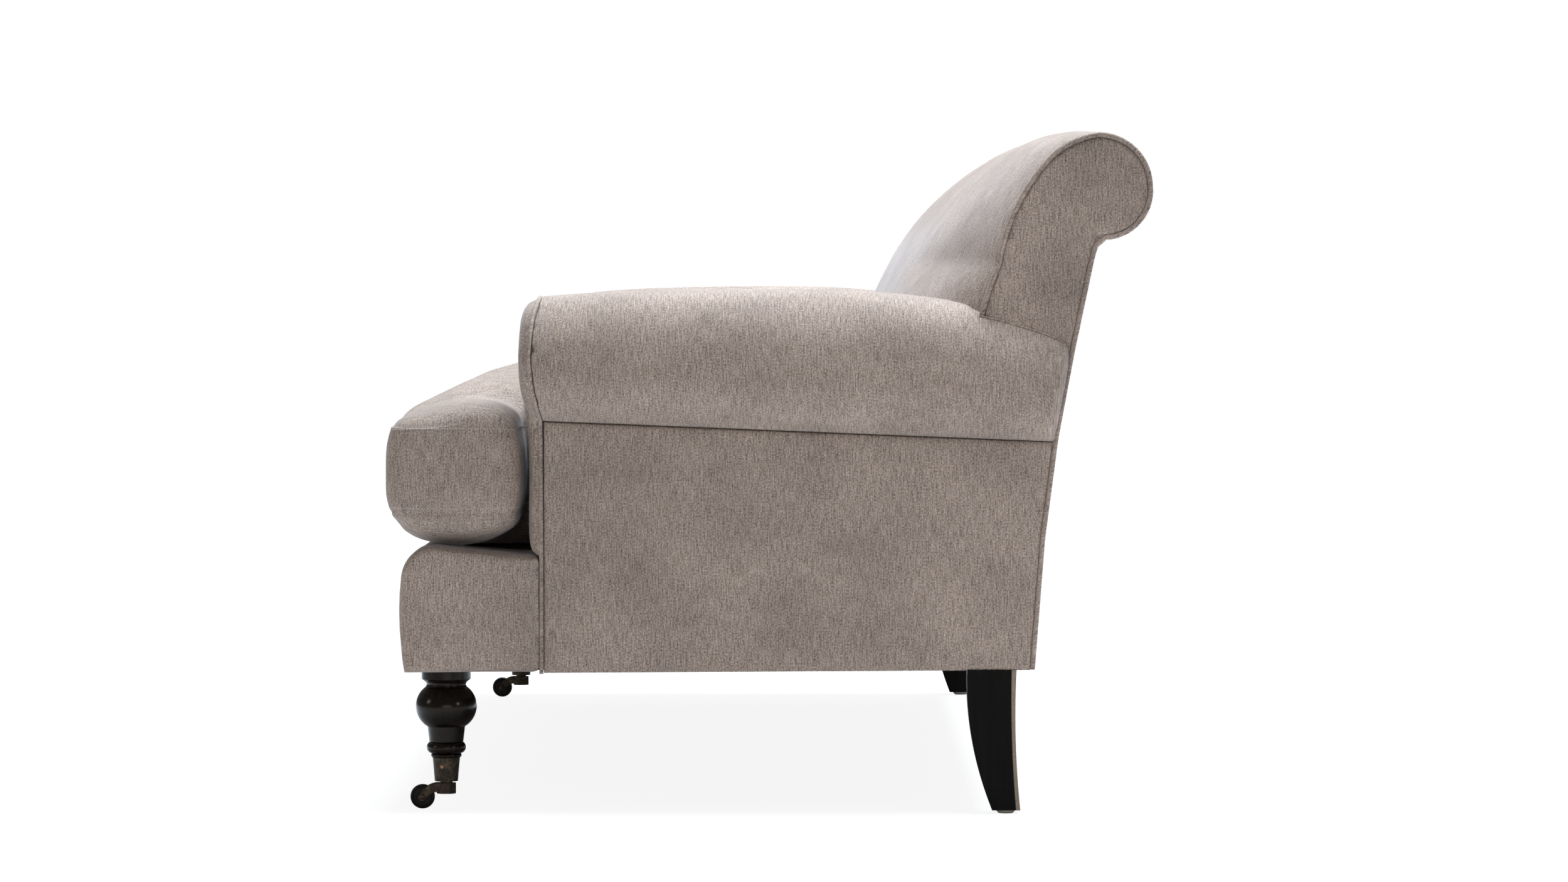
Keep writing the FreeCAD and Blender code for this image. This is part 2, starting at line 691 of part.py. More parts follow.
def arm_facing():
    """Domed pad on the front of the arm, inside the piping."""
    low = between(D.arm_front - D.facing_deep, BORDER_END, front_inner,
                  D.shoulder_top, D.border_top) + D.gap
    rings = []
    for ahead, inset in FACING_DOME:
        edge = PIPING_ROOM + inset
        corners = arm_edges(D.arm_front, low + inset, edge)
        corners.append(((D.side_face - edge, low + inset), None))
        rings.append(wire_xz(D.arm_front - max(D.gap, ahead * D.facing_deep), corners))
    return Part.makeLoft(rings, True, True)


def arm_piping():
    """Cord around the facing and down the arm's front corner."""
    y = D.arm_front - D.piping_radius - 2 * D.gap
    corners = arm_edges(D.arm_front, D.border_top + D.gap, D.piping_radius)
    corners.append(((corners[-1][0][0], D.underside), None))
    edges = path(corners, lambda point: V(point[0], y, point[1]))
    return cord([edges[:-1], edges[-1:]])


for word, side in SIDES:
    feature("arm_cover_" + word, mirrored(arm_cover(), side))
for word, side in SIDES:
    feature("arm_front_facing_" + word, mirrored(arm_facing(), side))
for word, side in SIDES:
    feature("arm_front_piping_" + word, mirrored(arm_piping(), side))

arm_panel_corners = [(D.arm_front, D.underside), (D.arm_front, arm_under(D.arm_front) - D.gap)]
arm_panel_top = rear_y(D.under_rear, PIPING_ROOM)
arm_panel_corners.append((arm_panel_top, arm_under(arm_panel_top) - D.gap))
arm_panel_corners += reversed(rear_edge(PIPING_ROOM, D.underside, D.under_rear - 5))
for word, side in SIDES:
    profile("outside_arm_panel_" + word, "YZ_Plane",
            [(str(y), str(z)) for y, z in arm_panel_corners],
            "rail_half + gap" if side > 0 else "-side_face", "side_face - rail_half - gap")

back_panel_corners = rear_edge(0.0, D.underside, D.undercut_z - D.gap)
back_panel_corners += [(y - D.panel_thick, z) for y, z in reversed(back_panel_corners)]
profile("outside_back_panel", "YZ_Plane", [(str(y), str(z)) for y, z in back_panel_corners],
        "-rail_half", "2 * rail_half")


# Back: a tight, crowned pad that rolls over the scroll rail

FOOT_Z = D.arm_top_joint - 51.0


def from_roll(ahead, above):
    """A point placed from the scroll's centre."""
    return (ROLL[0] - ahead, ROLL[1] + above)


def over_foot(foot, hip, share, bow):
    """A point at a share of the way from a foot to a hip, bowed forward."""
    return (between(share, 0, 1, foot[0], hip[0]) - bow, between(share, 0, 1, foot[1], hip[1]))


SIDE_SEAM = {"foot": from_roll(162.4, FOOT_Z - ROLL[1]), "hip": from_roll(129.9, -99.6),
             "to_brow": from_roll(102.4, -17.6), "brow": from_roll(64.4, 35.4),
             "to_top": from_roll(32.4, 57.4)}
SIDE_SEAM["to_hip"] = over_foot(SIDE_SEAM["foot"], SIDE_SEAM["hip"], 0.531, 3.76)
MID_FRONT = {"foot": (D.seat_back, FOOT_Z), "hip": from_roll(254.4, -99.6),
             "to_brow": from_roll(195.4, -16.6), "brow": from_roll(107.9, 48.9),
             "to_top": from_roll(53.4, 65.4)}
MID_FRONT["to_hip"] = over_foot(MID_FRONT["foot"], MID_FRONT["hip"], 0.5044, 4.7)
# Sections of the back pad along the sofa, as shares of its half length.
PAD_STATIONS = (0.0, 0.283019, 0.566038, 0.754717, 0.867925, 0.943396, 1.0)
SEAM_ROLL = 66.5
CORD_BREAK = 2.4
INSET_FOCUS = from_roll(-55.6, -252.6)
BACK_LOW = DECK_LOW + 1.5
PAD_TAIL = rear_y(D.undercut_z, POST_INSET - 2 * D.gap)


def crown(x, power):
    """Share of the crown that is left at x, from 1 mid-sofa to 0 at the side seam."""
    return 1.0 - (abs(x) / D.rail_half) ** power


def blended(name, share):
    """A named point of the pad's face between the side seam and the middle."""
    return tuple(side + share * (middle - side)
                 for side, middle in zip(SIDE_SEAM[name], MID_FRONT[name]))


def back_section(x):
    """Cross-section of the back pad: a hook over the heads of the posts."""
    low_share = crown(x, 12)
    share = crown(x, 4)
    radius = SEAM_ROLL + share * (D.roll_radius - SEAM_ROLL)
    foot = blended("foot", low_share)
    corners = [((foot[0], BACK_LOW), None), (foot, None),
               (blended("hip", share), blended("to_hip", (share + low_share) / 2)),
               (blended("brow", share), blended("to_brow", share)),
               (on_roll(radius, 90), blended("to_top", share)),
               (on_roll(radius, 0), on_roll(radius, 45)),
               (on_roll(radius, -83), on_roll(radius, -42)),
               ((D.undercut_y, D.undercut_z), None),
               ((PAD_TAIL, D.undercut_z), None)]
    return wire_yz(x, corners + head_edges(2 * D.gap, BACK_LOW))


def arm_room(side):
    """Room that the arm takes in front of the rear line, with its clearance."""
    return arm_space(side, D.gap).cut(behind(PIPING_ROOM + D.gap, frame_top - 40))


arm_rooms = {side: arm_room(side) for _, side in SIDES}


def back_pad():
    """Loft of the pad's sections, cut clear of both arms."""
    half = [share * D.rail_half for share in PAD_STATIONS]
    xs = [-x for x in reversed(half[1:])] + half
    pad = Part.makeLoft([back_section(x) for x in xs], True)
    pad = pad.cut(list(arm_rooms.values()))
    return max(pad.Solids, key=lambda solid: solid.Volume)


def seam(inset):
    """The side seam of the back above the arm, moved inwards by inset."""
    def moved(point):
        way = V(INSET_FOCUS[0] - point[0], INSET_FOCUS[1] - point[1], 0).normalize() * inset
        return (point[0] + way.x, point[1] + way.y)

    radius = SEAM_ROLL - inset
    tail = (D.undercut_y - inset, D.undercut_z - inset / 2)
    return [(moved(SIDE_SEAM["foot"]), None),
            (moved(SIDE_SEAM["hip"]), moved(SIDE_SEAM["to_hip"])),
            (moved(SIDE_SEAM["brow"]), moved(SIDE_SEAM["to_brow"])),
            (on_roll(radius, 90), moved(SIDE_SEAM["to_top"])),
            (on_roll(radius, 0), on_roll(radius, 45)),
            (on_roll(radius, -83), on_roll(radius, -42)),
            (tail, None)]


def back_side_panel(side):
    """Padded panel on the end of the back, above the arm."""
    inset = PIPING_ROOM + D.gap
    corners = seam(inset)[:-2]
    radius = SEAM_ROLL - inset
    corners.append((on_roll(radius, -92), on_roll(radius, -46)))
    joint = D.arm_top_rear - 20
    down = straight(reversed(rear_edge(PIPING_ROOM, joint, D.undercut_z - 14)))
    panel = slab(wire_yz(PANEL_X, corners + down + straight([(corners[0][0][0], joint)])),
                 X_AXIS * (D.side_face - PANEL_X))
    panel = mirrored(panel, side).cut(arm_rooms[side])
    return max(panel.Solids, key=lambda solid: solid.Volume)


def back_piping(side):
    """Cord over the end of the back, and the cord down the sofa's rear corner."""
    x = PANEL_X + D.piping_radius
    over = seam(D.piping_radius)
    down = straight(reversed(rear_edge(D.piping_radius, D.underside, D.undercut_z - 12)))
    end, tail = V(*over[-2][0], 0), V(*over[-1][0], 0)
    start = end + (tail - end).normalize() * CORD_BREAK
    runs = [over[:-1], [((start.x, start.y), None), over[-1]] + down]
    cords = [tube(path(corners, lambda point: V(x, point[0], point[1])), D.piping_radius)
             for corners in runs]
    trimmed = mirrored(cords[0], side).cut(arm_rooms[side])
    return Part.makeCompound([max(trimmed.Solids, key=lambda solid: solid.Volume),
                              mirrored(cords[1], side)])


feature("back_pad", back_pad())
for word, side in SIDES:
    feature("back_side_panel_" + word, back_side_panel(side))
for word, side in SIDES:
    feature("back_piping_" + word, back_piping(side))

dust_blank = board("dust_blank", ("-rail_half", "rail_half"), ("front_rail_y", "rear_rail_y"),
                   ("underside", "underside + cloth"))
drilled("dust_cover", dust_blank, bolts)


# Seat cushions: boxed, crowned, with a foam core

CUSHION_WIDE = 2 * D.arm_inner / 3
CUSHION_LOW = D.border_top + D.gap
CUSHION_REAR = D.seat_back - D.gap
SEAM_DRAW = 3.0
CROWN_STEPS = ((7.0, 3.5), (16.0, 7.0), (27.0, 16.0), (38.0, 32.0), (49.0, 58.0), (60.0, 92.0),
               (70.0, 135.0), (78.0, 185.0), (82.0, 240.0))
BELLY_STEPS = ((46.0, 100.0), (43.0, 68.0), (36.0, 38.0), (25.0, 17.0), (12.0, 5.0))
EAR_CROWN = ((7.0, 3.5), (15.0, 8.0), (23.0, 18.0), (30.0, 33.0), (35.0, 52.0), (38.0, 74.0))


def rounded(x0, x1, y0, y1, z, inset):
    """A rectangle with round corners, drawn in by inset."""
    x0, x1, y0, y1 = x0 + inset, x1 - inset, y0 + inset, y1 - inset
    radius = min(D.cushion_corner, (x1 - x0) * 0.4, (y1 - y0) * 0.4)
    bite = radius * (1 - DIAGONAL)
    corners = [((x0 + radius, y0), None), ((x1 - radius, y0), None),
               ((x1, y0 + radius), (x1 - bite, y0 + bite)), ((x1, y1 - radius), None),
               ((x1 - radius, y1), (x1 - bite, y1 - bite)), ((x0 + radius, y1), None),
               ((x0, y1 - radius), (x0 + bite, y1 - bite)), ((x0, y0 + radius), None)]
    corners[0] = (corners[0][0], (x0 + bite, y0 + bite))
    return wire_xy(z, corners)


def crowned(x0, x1, y0, y1, upper, top):
    """A boxed cushion: belly, straight boxing between two drawn-in seams, and crown."""
    belly = D.seam_low - CUSHION_LOW
    crown_high = top - D.seam_high
    levels = [(D.seam_low - rise * belly / BELLY_STEPS[0][0], inset) for rise, inset in BELLY_STEPS]
    levels.append((D.seam_low, SEAM_DRAW))
    levels.append(((D.seam_low + D.seam_high) / 2, 0.0))
    levels.append((D.seam_high, SEAM_DRAW))
    levels += [(D.seam_high + rise * crown_high / upper[-1][0], inset) for rise, inset in upper]
    return Part.makeLoft([rounded(x0, x1, y0, y1, z, inset) for z, inset in levels], True, True)


def core_block(grow, boxes):
    """Foam block of one or two boxes, inside the boxing."""
    low = D.seam_low - 8 - grow
    high = D.seam_high + 12 + grow
    inset = D.core_inset - grow
    blocks = [Part.makeBox(x1 - x0 - 2 * inset, y1 - y0 - 2 * inset, high - low,
                           V(x0 + inset, y0 + inset, low)) for x0, x1, y0, y1 in boxes]
    return blocks[0] if len(blocks) == 1 else blocks[0].fuse(blocks[1:]).removeSplitter()


def seat_cushion(x0, x1, eared):
    """Cover and core of one cushion; an eared one also passes in front of the arm."""
    main = (x0, x1, -D.front_reach, CUSHION_REAR)
    cover = crowned(*main, CROWN_STEPS, D.crown_top)
    boxes = [main]
    if eared:
        ear = (x1 - 120, D.side_face, 0.4 - D.front_reach, D.ear_rear)
        cover = cover.fuse(crowned(*ear, EAR_CROWN, D.seam_high + EAR_CROWN[-1][0]))
        boxes.append(ear)
    cover = cover.cut(core_block(D.gap, boxes))
    return max(cover.Solids, key=lambda solid: solid.Volume), core_block(0.0, boxes)


half_middle = (CUSHION_WIDE - D.gap) / 2
end_inner = half_middle + D.gap
end_outer = D.arm_inner - D.gap
middle_cover, middle_core = seat_cushion(-half_middle, half_middle, False)
end_cover, end_core = seat_cushion(end_inner, end_outer, True)
feature("seat_cushion_left", mirrored(end_cover, -1))
feature("seat_cushion_middle", middle_cover)
feature("seat_cushion_right", end_cover)
feature("cushion_core_left", mirrored(end_core, -1))
feature("cushion_core_middle", middle_core)
feature("cushion_core_right", end_core)


# Legs, casters and glides

TOE_LOW = D.ferrule_low + D.ferrule_wall + D.gap
STEM_TOP = 50.0
SCREW_TURN = -15.0
CROWN_RADIUS = 13.2
FERRULE_SLOPE = (D.ferrule_wide - D.ferrule_narrow) / 2 / (D.ferrule_top - D.ferrule_low)


def ferrule_radius(z, inset):
    """Radius of the ferrule's cone at a height."""
    return D.ferrule_narrow / 2 + FERRULE_SLOPE * (z - D.ferrule_low) - inset


def leg_places(shape):
    """The same shape at both front legs, the left one mirrored."""
    right = shape.translated(V(D.leg_x, D.leg_y, 0))
    return {side: mirrored(right, side) for _, side in SIDES}


def front_leg():
    """Turned leg: block, ring, ball, cone and two beads over a toe for the ferrule."""
    fit = D.ferrule_wall + 0.2
    toe_top = ferrule_radius(D.ferrule_top, fit)
    lip = ferrule_radius(D.ferrule_top, 0)
    bead = D.leg_bead / 2
    neck = D.leg_neck / 2
    top = D.underside

    def up(share):
        return between(share, 0, 1, D.ferrule_top, top)

    corners = [((0, TOE_LOW), None), ((ferrule_radius(TOE_LOW, fit), TOE_LOW), None),
               ((toe_top, D.ferrule_top + 0.2), None), ((lip, D.ferrule_top + 0.2), None),
               ((lip + 0.5, up(0.046)), (lip + 2.2, up(0.0234))), ((bead - 5, up(0.0502)), None),
               ((bead - 4, up(0.1715)), (bead, up(0.1088))), ((bead - 3.3, up(0.1757)), None),
               ((bead - 1.1, up(0.3397)), None), ((bead - 0.1, up(0.3448)), None),
               ((neck + 2.2, up(0.7598)), (D.leg_ball / 2, up(0.559))),
               ((neck, up(0.8243)), (neck - 0.6, up(0.7866))),
               ((D.leg_block / 2, up(0.8603)), None), ((D.leg_block / 2, top), None), ((0, top), None)]
    return turned(corners)


def ferrule():
    """Tapered metal cup on the toe, with a hole for the swivel stem."""
    bore = D.stem_radius + D.gap
    floor = D.ferrule_low + D.ferrule_wall
    wall = D.ferrule_wall
    return turned(straight([(bore, D.ferrule_low), (ferrule_radius(D.ferrule_low, 0), D.ferrule_low),
                            (ferrule_radius(D.ferrule_top, 0), D.ferrule_top),
                            (ferrule_radius(D.ferrule_top, wall), D.ferrule_top),
                            (ferrule_radius(floor, wall), floor), (bore, floor)]))


def ferrule_screw():
    """Screw through the outer side of the ferrule, its head with a cross recess."""
    z = 56.0
    face = ferrule_radius(z, 0.6)
    head = Part.makeCone(2.7, 2.0, 1.7, V(face, 0, z), X_AXIS)
    shank = Part.makeCylinder(1.3, 11, V(face - 10.5, 0, z), X_AXIS)
    slots = [Part.makeBox(1.0, 2.8, 0.6, V(face + 1.1, -1.4, z - 0.3)),
             Part.makeBox(1.0, 0.6, 2.8, V(face + 1.1, -0.3, z - 1.4))]
    screw = head.fuse(shank).cut(slots).Solids[0]
    screw.rotate(ORIGIN, Z_AXIS, SCREW_TURN)
    return screw


def screw_hole():
    """Bore and countersink for the ferrule's screw."""
    z = 56.0
    face = ferrule_radius(z, 0.6)
    hole = Part.makeCylinder(2.7, 6, V(face, 0, z), X_AXIS).fuse(
        Part.makeCylinder(1.3, 12, V(face - 11, 0, z), X_AXIS))
    hole.rotate(ORIGIN, Z_AXIS, SCREW_TURN)
    return hole


def fork():
    """Caster fork: stem, thrust washer, eight-sided crown and two cheeks curving forward."""
    crown_top = D.ferrule_low - D.gap - 2.3
    crown_low = D.wheel_radius + 4
    stem = Part.makeCylinder(D.stem_radius, STEM_TOP - crown_top + 1, V(0, 0, crown_top - 1))
    washer = Part.makeCylinder(8.0, 2.4, V(0, 0, crown_top - 0.1))
    ring = [(CROWN_RADIUS * math.cos(math.radians(turn)), CROWN_RADIUS * math.sin(math.radians(turn)))
            for turn in range(22, 382, 45)]
    crown_block = slab(wire_xy(crown_low, straight(ring)), Z_AXIS * (crown_top - crown_low))
    axle_y = -D.caster_trail
    axle_z = D.wheel_radius
    boss = 5.2
    cheek_x = D.wheel_wide / 2 + 1.1
    corners = [((-4.0, crown_top), None), ((-4.0, crown_low + 1), None),
               ((axle_y + boss * 0.9, axle_z - boss * 0.4), (-19.0, axle_z + 4.5)),
               ((axle_y - boss, axle_z), (axle_y + boss * 0.1, axle_z - boss)),
               ((-13.0, crown_top), (axle_y + 4.5, axle_z + 12.5))]
    cheeks = [slab(wire_yz(x, corners), X_AXIS * D.cheek_thick)
              for x in (cheek_x, -cheek_x - D.cheek_thick)]
    bore = Part.makeCylinder(D.axle_radius + 0.05, 60, V(-30, axle_y, axle_z), X_AXIS)
    return stem.fuse([washer, crown_block] + cheeks).cut(bore).Solids[0]


def axle():
    """Pin through both cheeks, with a domed head at each end."""
    half = D.wheel_wide / 2 + 1.1 + D.cheek_thick
    pin = Part.makeCylinder(D.axle_radius, 2 * half, V(-half, 0, 0), X_AXIS)
    heads = [Part.makeCone(D.axle_radius + 1.2, D.axle_radius - 0.4, 1.3,
                           V(side * half, 0, 0), X_AXIS * side) for _, side in SIDES]
    return pin.fuse(heads).Solids[0].translated(V(0, -D.caster_trail, D.wheel_radius))


def wheel():
    """Wheel with a rounded tread, a dished side and a hub."""
    bore = D.axle_radius + D.gap
    half = D.wheel_wide / 2
    rim = D.wheel_radius
    corners = [((bore, -half), None), ((bore + 2.6, -half), None), ((bore + 3.2, -half + 1.6), None),
               ((rim - 4.2, -half + 1.6), None), ((rim - 3.4, -half + 0.4), None),
               ((rim - 0.8, -half + 2.2), (rim - 1.4, -half + 1.0)),
               ((rim - 0.8, half - 2.2), (rim, 0)),
               ((rim - 3.4, half - 0.4), (rim - 1.4, half - 1.0)),
               ((rim - 4.2, half - 1.6), None), ((bore + 3.2, half - 1.6), None),
               ((bore + 2.6, half), None), ((bore, half), None)]
    turned_wheel = turned(corners)
    turned_wheel.rotate(ORIGIN, Y_AXIS, 90)
    return turned_wheel.translated(V(0, -D.caster_trail, D.wheel_radius))


leg_bore = Part.makeCylinder(D.bolt_radius, 30, V(0, 0, bolt_low))
stem_bore = Part.makeCylinder(D.stem_radius + D.gap, STEM_TOP + 2 - TOE_LOW + 1, V(0, 0, TOE_LOW - 1))
legs = leg_places(front_leg().cut([leg_bore, stem_bore, screw_hole()]))
ferrules = leg_places(ferrule().cut(screw_hole()))
ferrule_screws = leg_places(ferrule_screw())
for word, side in SIDES:
    feature("front_leg_" + word, legs[side])
feature("caster_ferrules", Part.makeCompound(list(ferrules.values())))
feature("ferrule_screws", Part.makeCompound(list(ferrule_screws.values())))
for name, shape in (("caster_fork_", fork()), ("caster_axle_", axle()), ("caster_wheel_", wheel())):
    placed = leg_places(shape)
    for word, side in SIDES:
        feature(name + word, placed[side])


# Rear legs: splayed and straight-sided, on nail-on glides

# Places of the leg's front and rear edges ahead of the rear rail's face: top, middle and toe.
LEG_FRONT_AHEAD = (75.5, 70.0, 43.5)
LEG_REAR_AHEAD = (12.0, 13.1, 7.0)
LEG_LEVELS = (D.underside, between(0.471, 0, 1, D.underside, D.glide_high), D.glide_high)
REAR_LEG_FRONT = [(D.rear_rail_y - ahead, z) for ahead, z in zip(LEG_FRONT_AHEAD, LEG_LEVELS)]
REAR_LEG_REAR = [(D.rear_rail_y - ahead, z) for ahead, z in zip(LEG_REAR_AHEAD, LEG_LEVELS)]
GLIDE = ((REAR_LEG_FRONT[-1][0] + REAR_LEG_REAR[-1][0]) / 2, D.rear_leg_x + D.rear_leg_wide / 2)


def glide():
    """Round glide with a flat foot, and the nail that holds it."""
    foot = D.glide_radius - 3
    disc = turned(straight([(0, 0), (foot, 0), (D.glide_radius, D.glide_high - 1.5),
                            (D.glide_radius, D.glide_high), (0, D.glide_high)]))
    nail = Part.makeCylinder(1.5, 18, V(0, 0, D.glide_high - 1))
    return disc.fuse(nail).Solids[0].translated(V(GLIDE[1], GLIDE[0], 0))


def rear_leg():
    """Back leg sawn to a curve, bored for its bolt and the glide's nail."""
    front, front_mid, front_toe = REAR_LEG_FRONT
    rear, rear_mid, rear_toe = REAR_LEG_REAR
    corners = [(front, None), (front_toe, front_mid), (rear_toe, None), (rear, rear_mid)]
    blank = slab(wire_yz(D.rear_leg_x, corners), X_AXIS * D.rear_leg_wide)
    nail = Part.makeCylinder(1.5, 18, V(GLIDE[1], GLIDE[0], D.glide_high - 1))
    return blank.cut([nail] + bolts).Solids[0]


for word, side in SIDES:
    feature("rear_leg_" + word, mirrored(rear_leg(), side))
feature("rear_glides", Part.makeCompound([mirrored(glide(), side) for _, side in SIDES]))


# Check and write

doc.recompute()
for item in doc.Objects:
    if "Invalid" in item.State or "Error" in item.State:
        raise RuntimeError("%s failed: %s" % (item.Label, item.State))
for label, item in nodes.items():
    if item.Shape.isNull() or not item.Shape.isValid() or not item.Shape.Solids:
        raise RuntimeError("%s has no valid solid" % label)

os.makedirs("parts", exist_ok=True)
for label, item in nodes.items():
    item.Shape.exportStep("parts/%s.step" % label)
    print("%-26s %2d solid(s) %11.0f mm3" % (label, len(item.Shape.Solids), item.Shape.Volume))
print(len(nodes), "sub-parts")
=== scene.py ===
import math
import bpy
import bmesh
import numpy as np
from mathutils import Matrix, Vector, noise
from mathutils.bvhtree import BVHTree
from mathutils.geometry import delaunay_2d_cdt


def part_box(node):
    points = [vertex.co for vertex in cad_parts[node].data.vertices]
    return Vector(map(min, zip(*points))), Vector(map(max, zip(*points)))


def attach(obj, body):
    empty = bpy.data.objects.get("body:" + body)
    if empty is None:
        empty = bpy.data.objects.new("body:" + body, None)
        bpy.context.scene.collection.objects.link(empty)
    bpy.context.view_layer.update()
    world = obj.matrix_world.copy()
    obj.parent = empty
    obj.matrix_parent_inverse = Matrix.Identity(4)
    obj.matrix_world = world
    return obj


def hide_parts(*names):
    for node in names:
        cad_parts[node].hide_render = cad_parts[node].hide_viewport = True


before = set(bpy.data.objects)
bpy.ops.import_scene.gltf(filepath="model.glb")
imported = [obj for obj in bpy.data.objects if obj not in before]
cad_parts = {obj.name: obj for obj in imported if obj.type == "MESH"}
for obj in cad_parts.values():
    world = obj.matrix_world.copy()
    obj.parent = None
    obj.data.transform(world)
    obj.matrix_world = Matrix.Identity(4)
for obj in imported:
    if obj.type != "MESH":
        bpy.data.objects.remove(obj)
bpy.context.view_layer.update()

# A three-cushion roll-arm sofa. Shapes are worked out in millimetres and become metres in
# their mesh. +Z is up, the sofa faces -Y, and "right" is the +X end, nearest the camera.

MM = 0.001
X, Y, Z = 0, 1, 2
SIDES = (("left", -1), ("right", 1))
UP = Vector((0, 0, 1))


def low(node, axis):
    """Lowest coordinate of a frame node along one axis, in millimetres."""
    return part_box(node)[0][axis] / MM


def high(node, axis):
    """Highest coordinate of a frame node along one axis, in millimetres."""
    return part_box(node)[1][axis] / MM


SIDE_PANEL = "outside_arm_panel_right"
UNDERSIDE = low(SIDE_PANEL, Z)
SIDE_FACE = high(SIDE_PANEL, X)
PANEL_INNER = low(SIDE_PANEL, X)
ARM_FRONT = low(SIDE_PANEL, Y)
ARM_INNER = low("arm_cover_right", X)
ARM_OUTER = high("arm_cover_right", X)
ARM_LOW = low("arm_cover_right", Z)
BACK_HALF = high("back_pad", X)
BACK_LOW = low("back_pad", Z)
SEAT_BACK = low("back_pad", Y)
DECK_TOP = high("seat_deck_pad", Z)
DECK_LOW = low("seat_deck_pad", Z)
PIPING = 2.75


# Shapes in section

def arc(start, through, end, count):
    """Points of the circle through three points, after its start."""
    (ax, ay), (bx, by), (cx, cy) = start, through, end
    twice = 2 * (ax * (by - cy) + bx * (cy - ay) + cx * (ay - by))
    squares = [ax * ax + ay * ay, bx * bx + by * by, cx * cx + cy * cy]
    ux = (squares[0] * (by - cy) + squares[1] * (cy - ay) + squares[2] * (ay - by)) / twice
    uy = (squares[0] * (cx - bx) + squares[1] * (ax - cx) + squares[2] * (bx - ax)) / twice
    first, middle, last = (math.atan2(y - uy, x - ux) for x, y in (start, through, end))
    turn = (last - first) % math.tau
    if (middle - first) % math.tau > turn:
        turn -= math.tau
    radius = math.hypot(ax - ux, ay - uy)
    return [(ux + radius * math.cos(first + turn * k / count),
             uy + radius * math.sin(first + turn * k / count)) for k in range(1, count + 1)]


def trace(start, *ways):
    """Points from a start along ways, each (count, end) or (count, through, end)."""
    points = [start]
    for way in ways:
        last, count, end = points[-1], way[0], way[-1]
        if len(way) == 3:
            points += arc(last, way[1], end, count)
        else:
            points += [(last[0] + (end[0] - last[0]) * k / count,
                        last[1] + (end[1] - last[1]) * k / count) for k in range(1, count + 1)]
    return points


def along(points):
    """Distance run so far at each point of a row."""
    points = np.asarray(points, float)
    steps = np.linalg.norm(np.diff(points, axis=0), axis=1)
    return np.concatenate(([0.0], np.cumsum(steps)))


def spread(start, end, step, ends=0.0):
    """Even stations with a smaller step near both ends."""
    count = max(2, round((end - start) / step))
    share = np.linspace(0.0, 1.0, count + 1)
    return start + (end - start) * (share - ends * np.sin(math.tau * share) / math.tau)


def eased(value, start, end):
    """0 before start, 1 after end, and a smooth rise between."""
    share = np.clip((value - start) / (end - start), 0.0, 1.0)
    return share * share * (3 - 2 * share)


# Meshes

def linked(name, data):
    """An object of the scene that holds the data."""
    thing = bpy.data.objects.new(name, data)
    bpy.context.scene.collection.objects.link(thing)
    return thing


def mesh_of(name, points, faces, cloth=None):
    """An object from points in millimetres, faces and the cloth place of every face corner."""
    mesh = bpy.data.meshes.new(name)
    mesh.from_pydata((np.asarray(points, float) * MM).tolist(), [], faces)
    if cloth is not None:
        lay_cloth(mesh, cloth)
    smooth(mesh)
    return linked(name, mesh)


def lay_cloth(mesh, cloth):
    """Write the cloth place of every face corner, given in millimetres."""
    layer = mesh.uv_layers.get("cloth") or mesh.uv_layers.new(name="cloth")
    layer.data.foreach_set("uv", (np.asarray(cloth, float) * MM).astype(np.float32).ravel())


def smooth(mesh):
    """Shade every face softly."""
    mesh.polygons.foreach_set("use_smooth", [True] * len(mesh.polygons))


def shell(name, rings, across, lengthwise=None):
    """A closed skin over rings of points. Cloth threads run round the rings, or as lengthwise
    says, and across is the axis that counts the threads."""
    rings = np.asarray(rings, float)
    rows, columns = rings.shape[:2]
    lane = rings[..., across]
    if lengthwise is None:
        run = np.array([along(np.vstack((ring, ring[:1]))) for ring in rings])
    else:
        run = np.hstack((rings[..., lengthwise], rings[:, :1, lengthwise]))
    lane = np.hstack((lane, lane[:, :1]))
    faces, cloth = [], []
    for i in range(rows - 1):
        for j in range(columns):
            corners = ((i, j), (i, j + 1), (i + 1, j + 1), (i + 1, j))
            faces.append(tuple(a * columns + b % columns for a, b in corners))
            cloth += [(lane[corner], run[corner]) for corner in corners]
    for row, way in ((0, -1), (rows - 1, 1)):
        order = list(range(columns))[::way]
        faces.append([row * columns + j for j in order])
        cloth += [(lane[row, j], rings[row, j, Z]) for j in order]
    return triangled(outward(mesh_of(name, rings.reshape(-1, 3), faces, cloth)))


def reworked(thing, change):
    """Put a piece's mesh through a change."""
    work = bmesh.new()
    work.from_mesh(thing.data)
    change(work)
    work.to_mesh(thing.data)
    work.free()
    return thing


def triangled(thing):
    """Split the many-sided faces at the ends of a shell."""
    return reworked(thing, lambda work: bmesh.ops.triangulate(
        work, faces=[face for face in work.faces if len(face.verts) > 4], ngon_method="EAR_CLIP"))


def outward(thing):
    """Turn the faces outwards."""
    return reworked(thing, lambda work: bmesh.ops.recalc_face_normals(work, faces=work.faces))


def evaluated_mesh(thing):
    """The mesh that an object's modifiers make."""
    depsgraph = bpy.context.evaluated_depsgraph_get()
    return bpy.data.meshes.new_from_object(thing.evaluated_get(depsgraph), depsgraph=depsgraph)


def baked(thing):
    """The same object with its modifiers made part of its mesh."""
    mesh, old = evaluated_mesh(thing), thing.data
    thing.modifiers.clear()
    thing.data = mesh
    mesh.name = thing.name
    bpy.data.meshes.remove(old)
    return thing


def modified(thing, name, kind, **settings):
    """Give a piece a modifier with these settings."""
    modifier = thing.modifiers.new(name, kind)
    for key, value in settings.items():
        setattr(modifier, key, value)
    return thing


def softened(thing):
    """A subdivision surface over a piece."""
    return modified(thing, "smooth_surface", "SUBSURF", levels=1, render_levels=1)


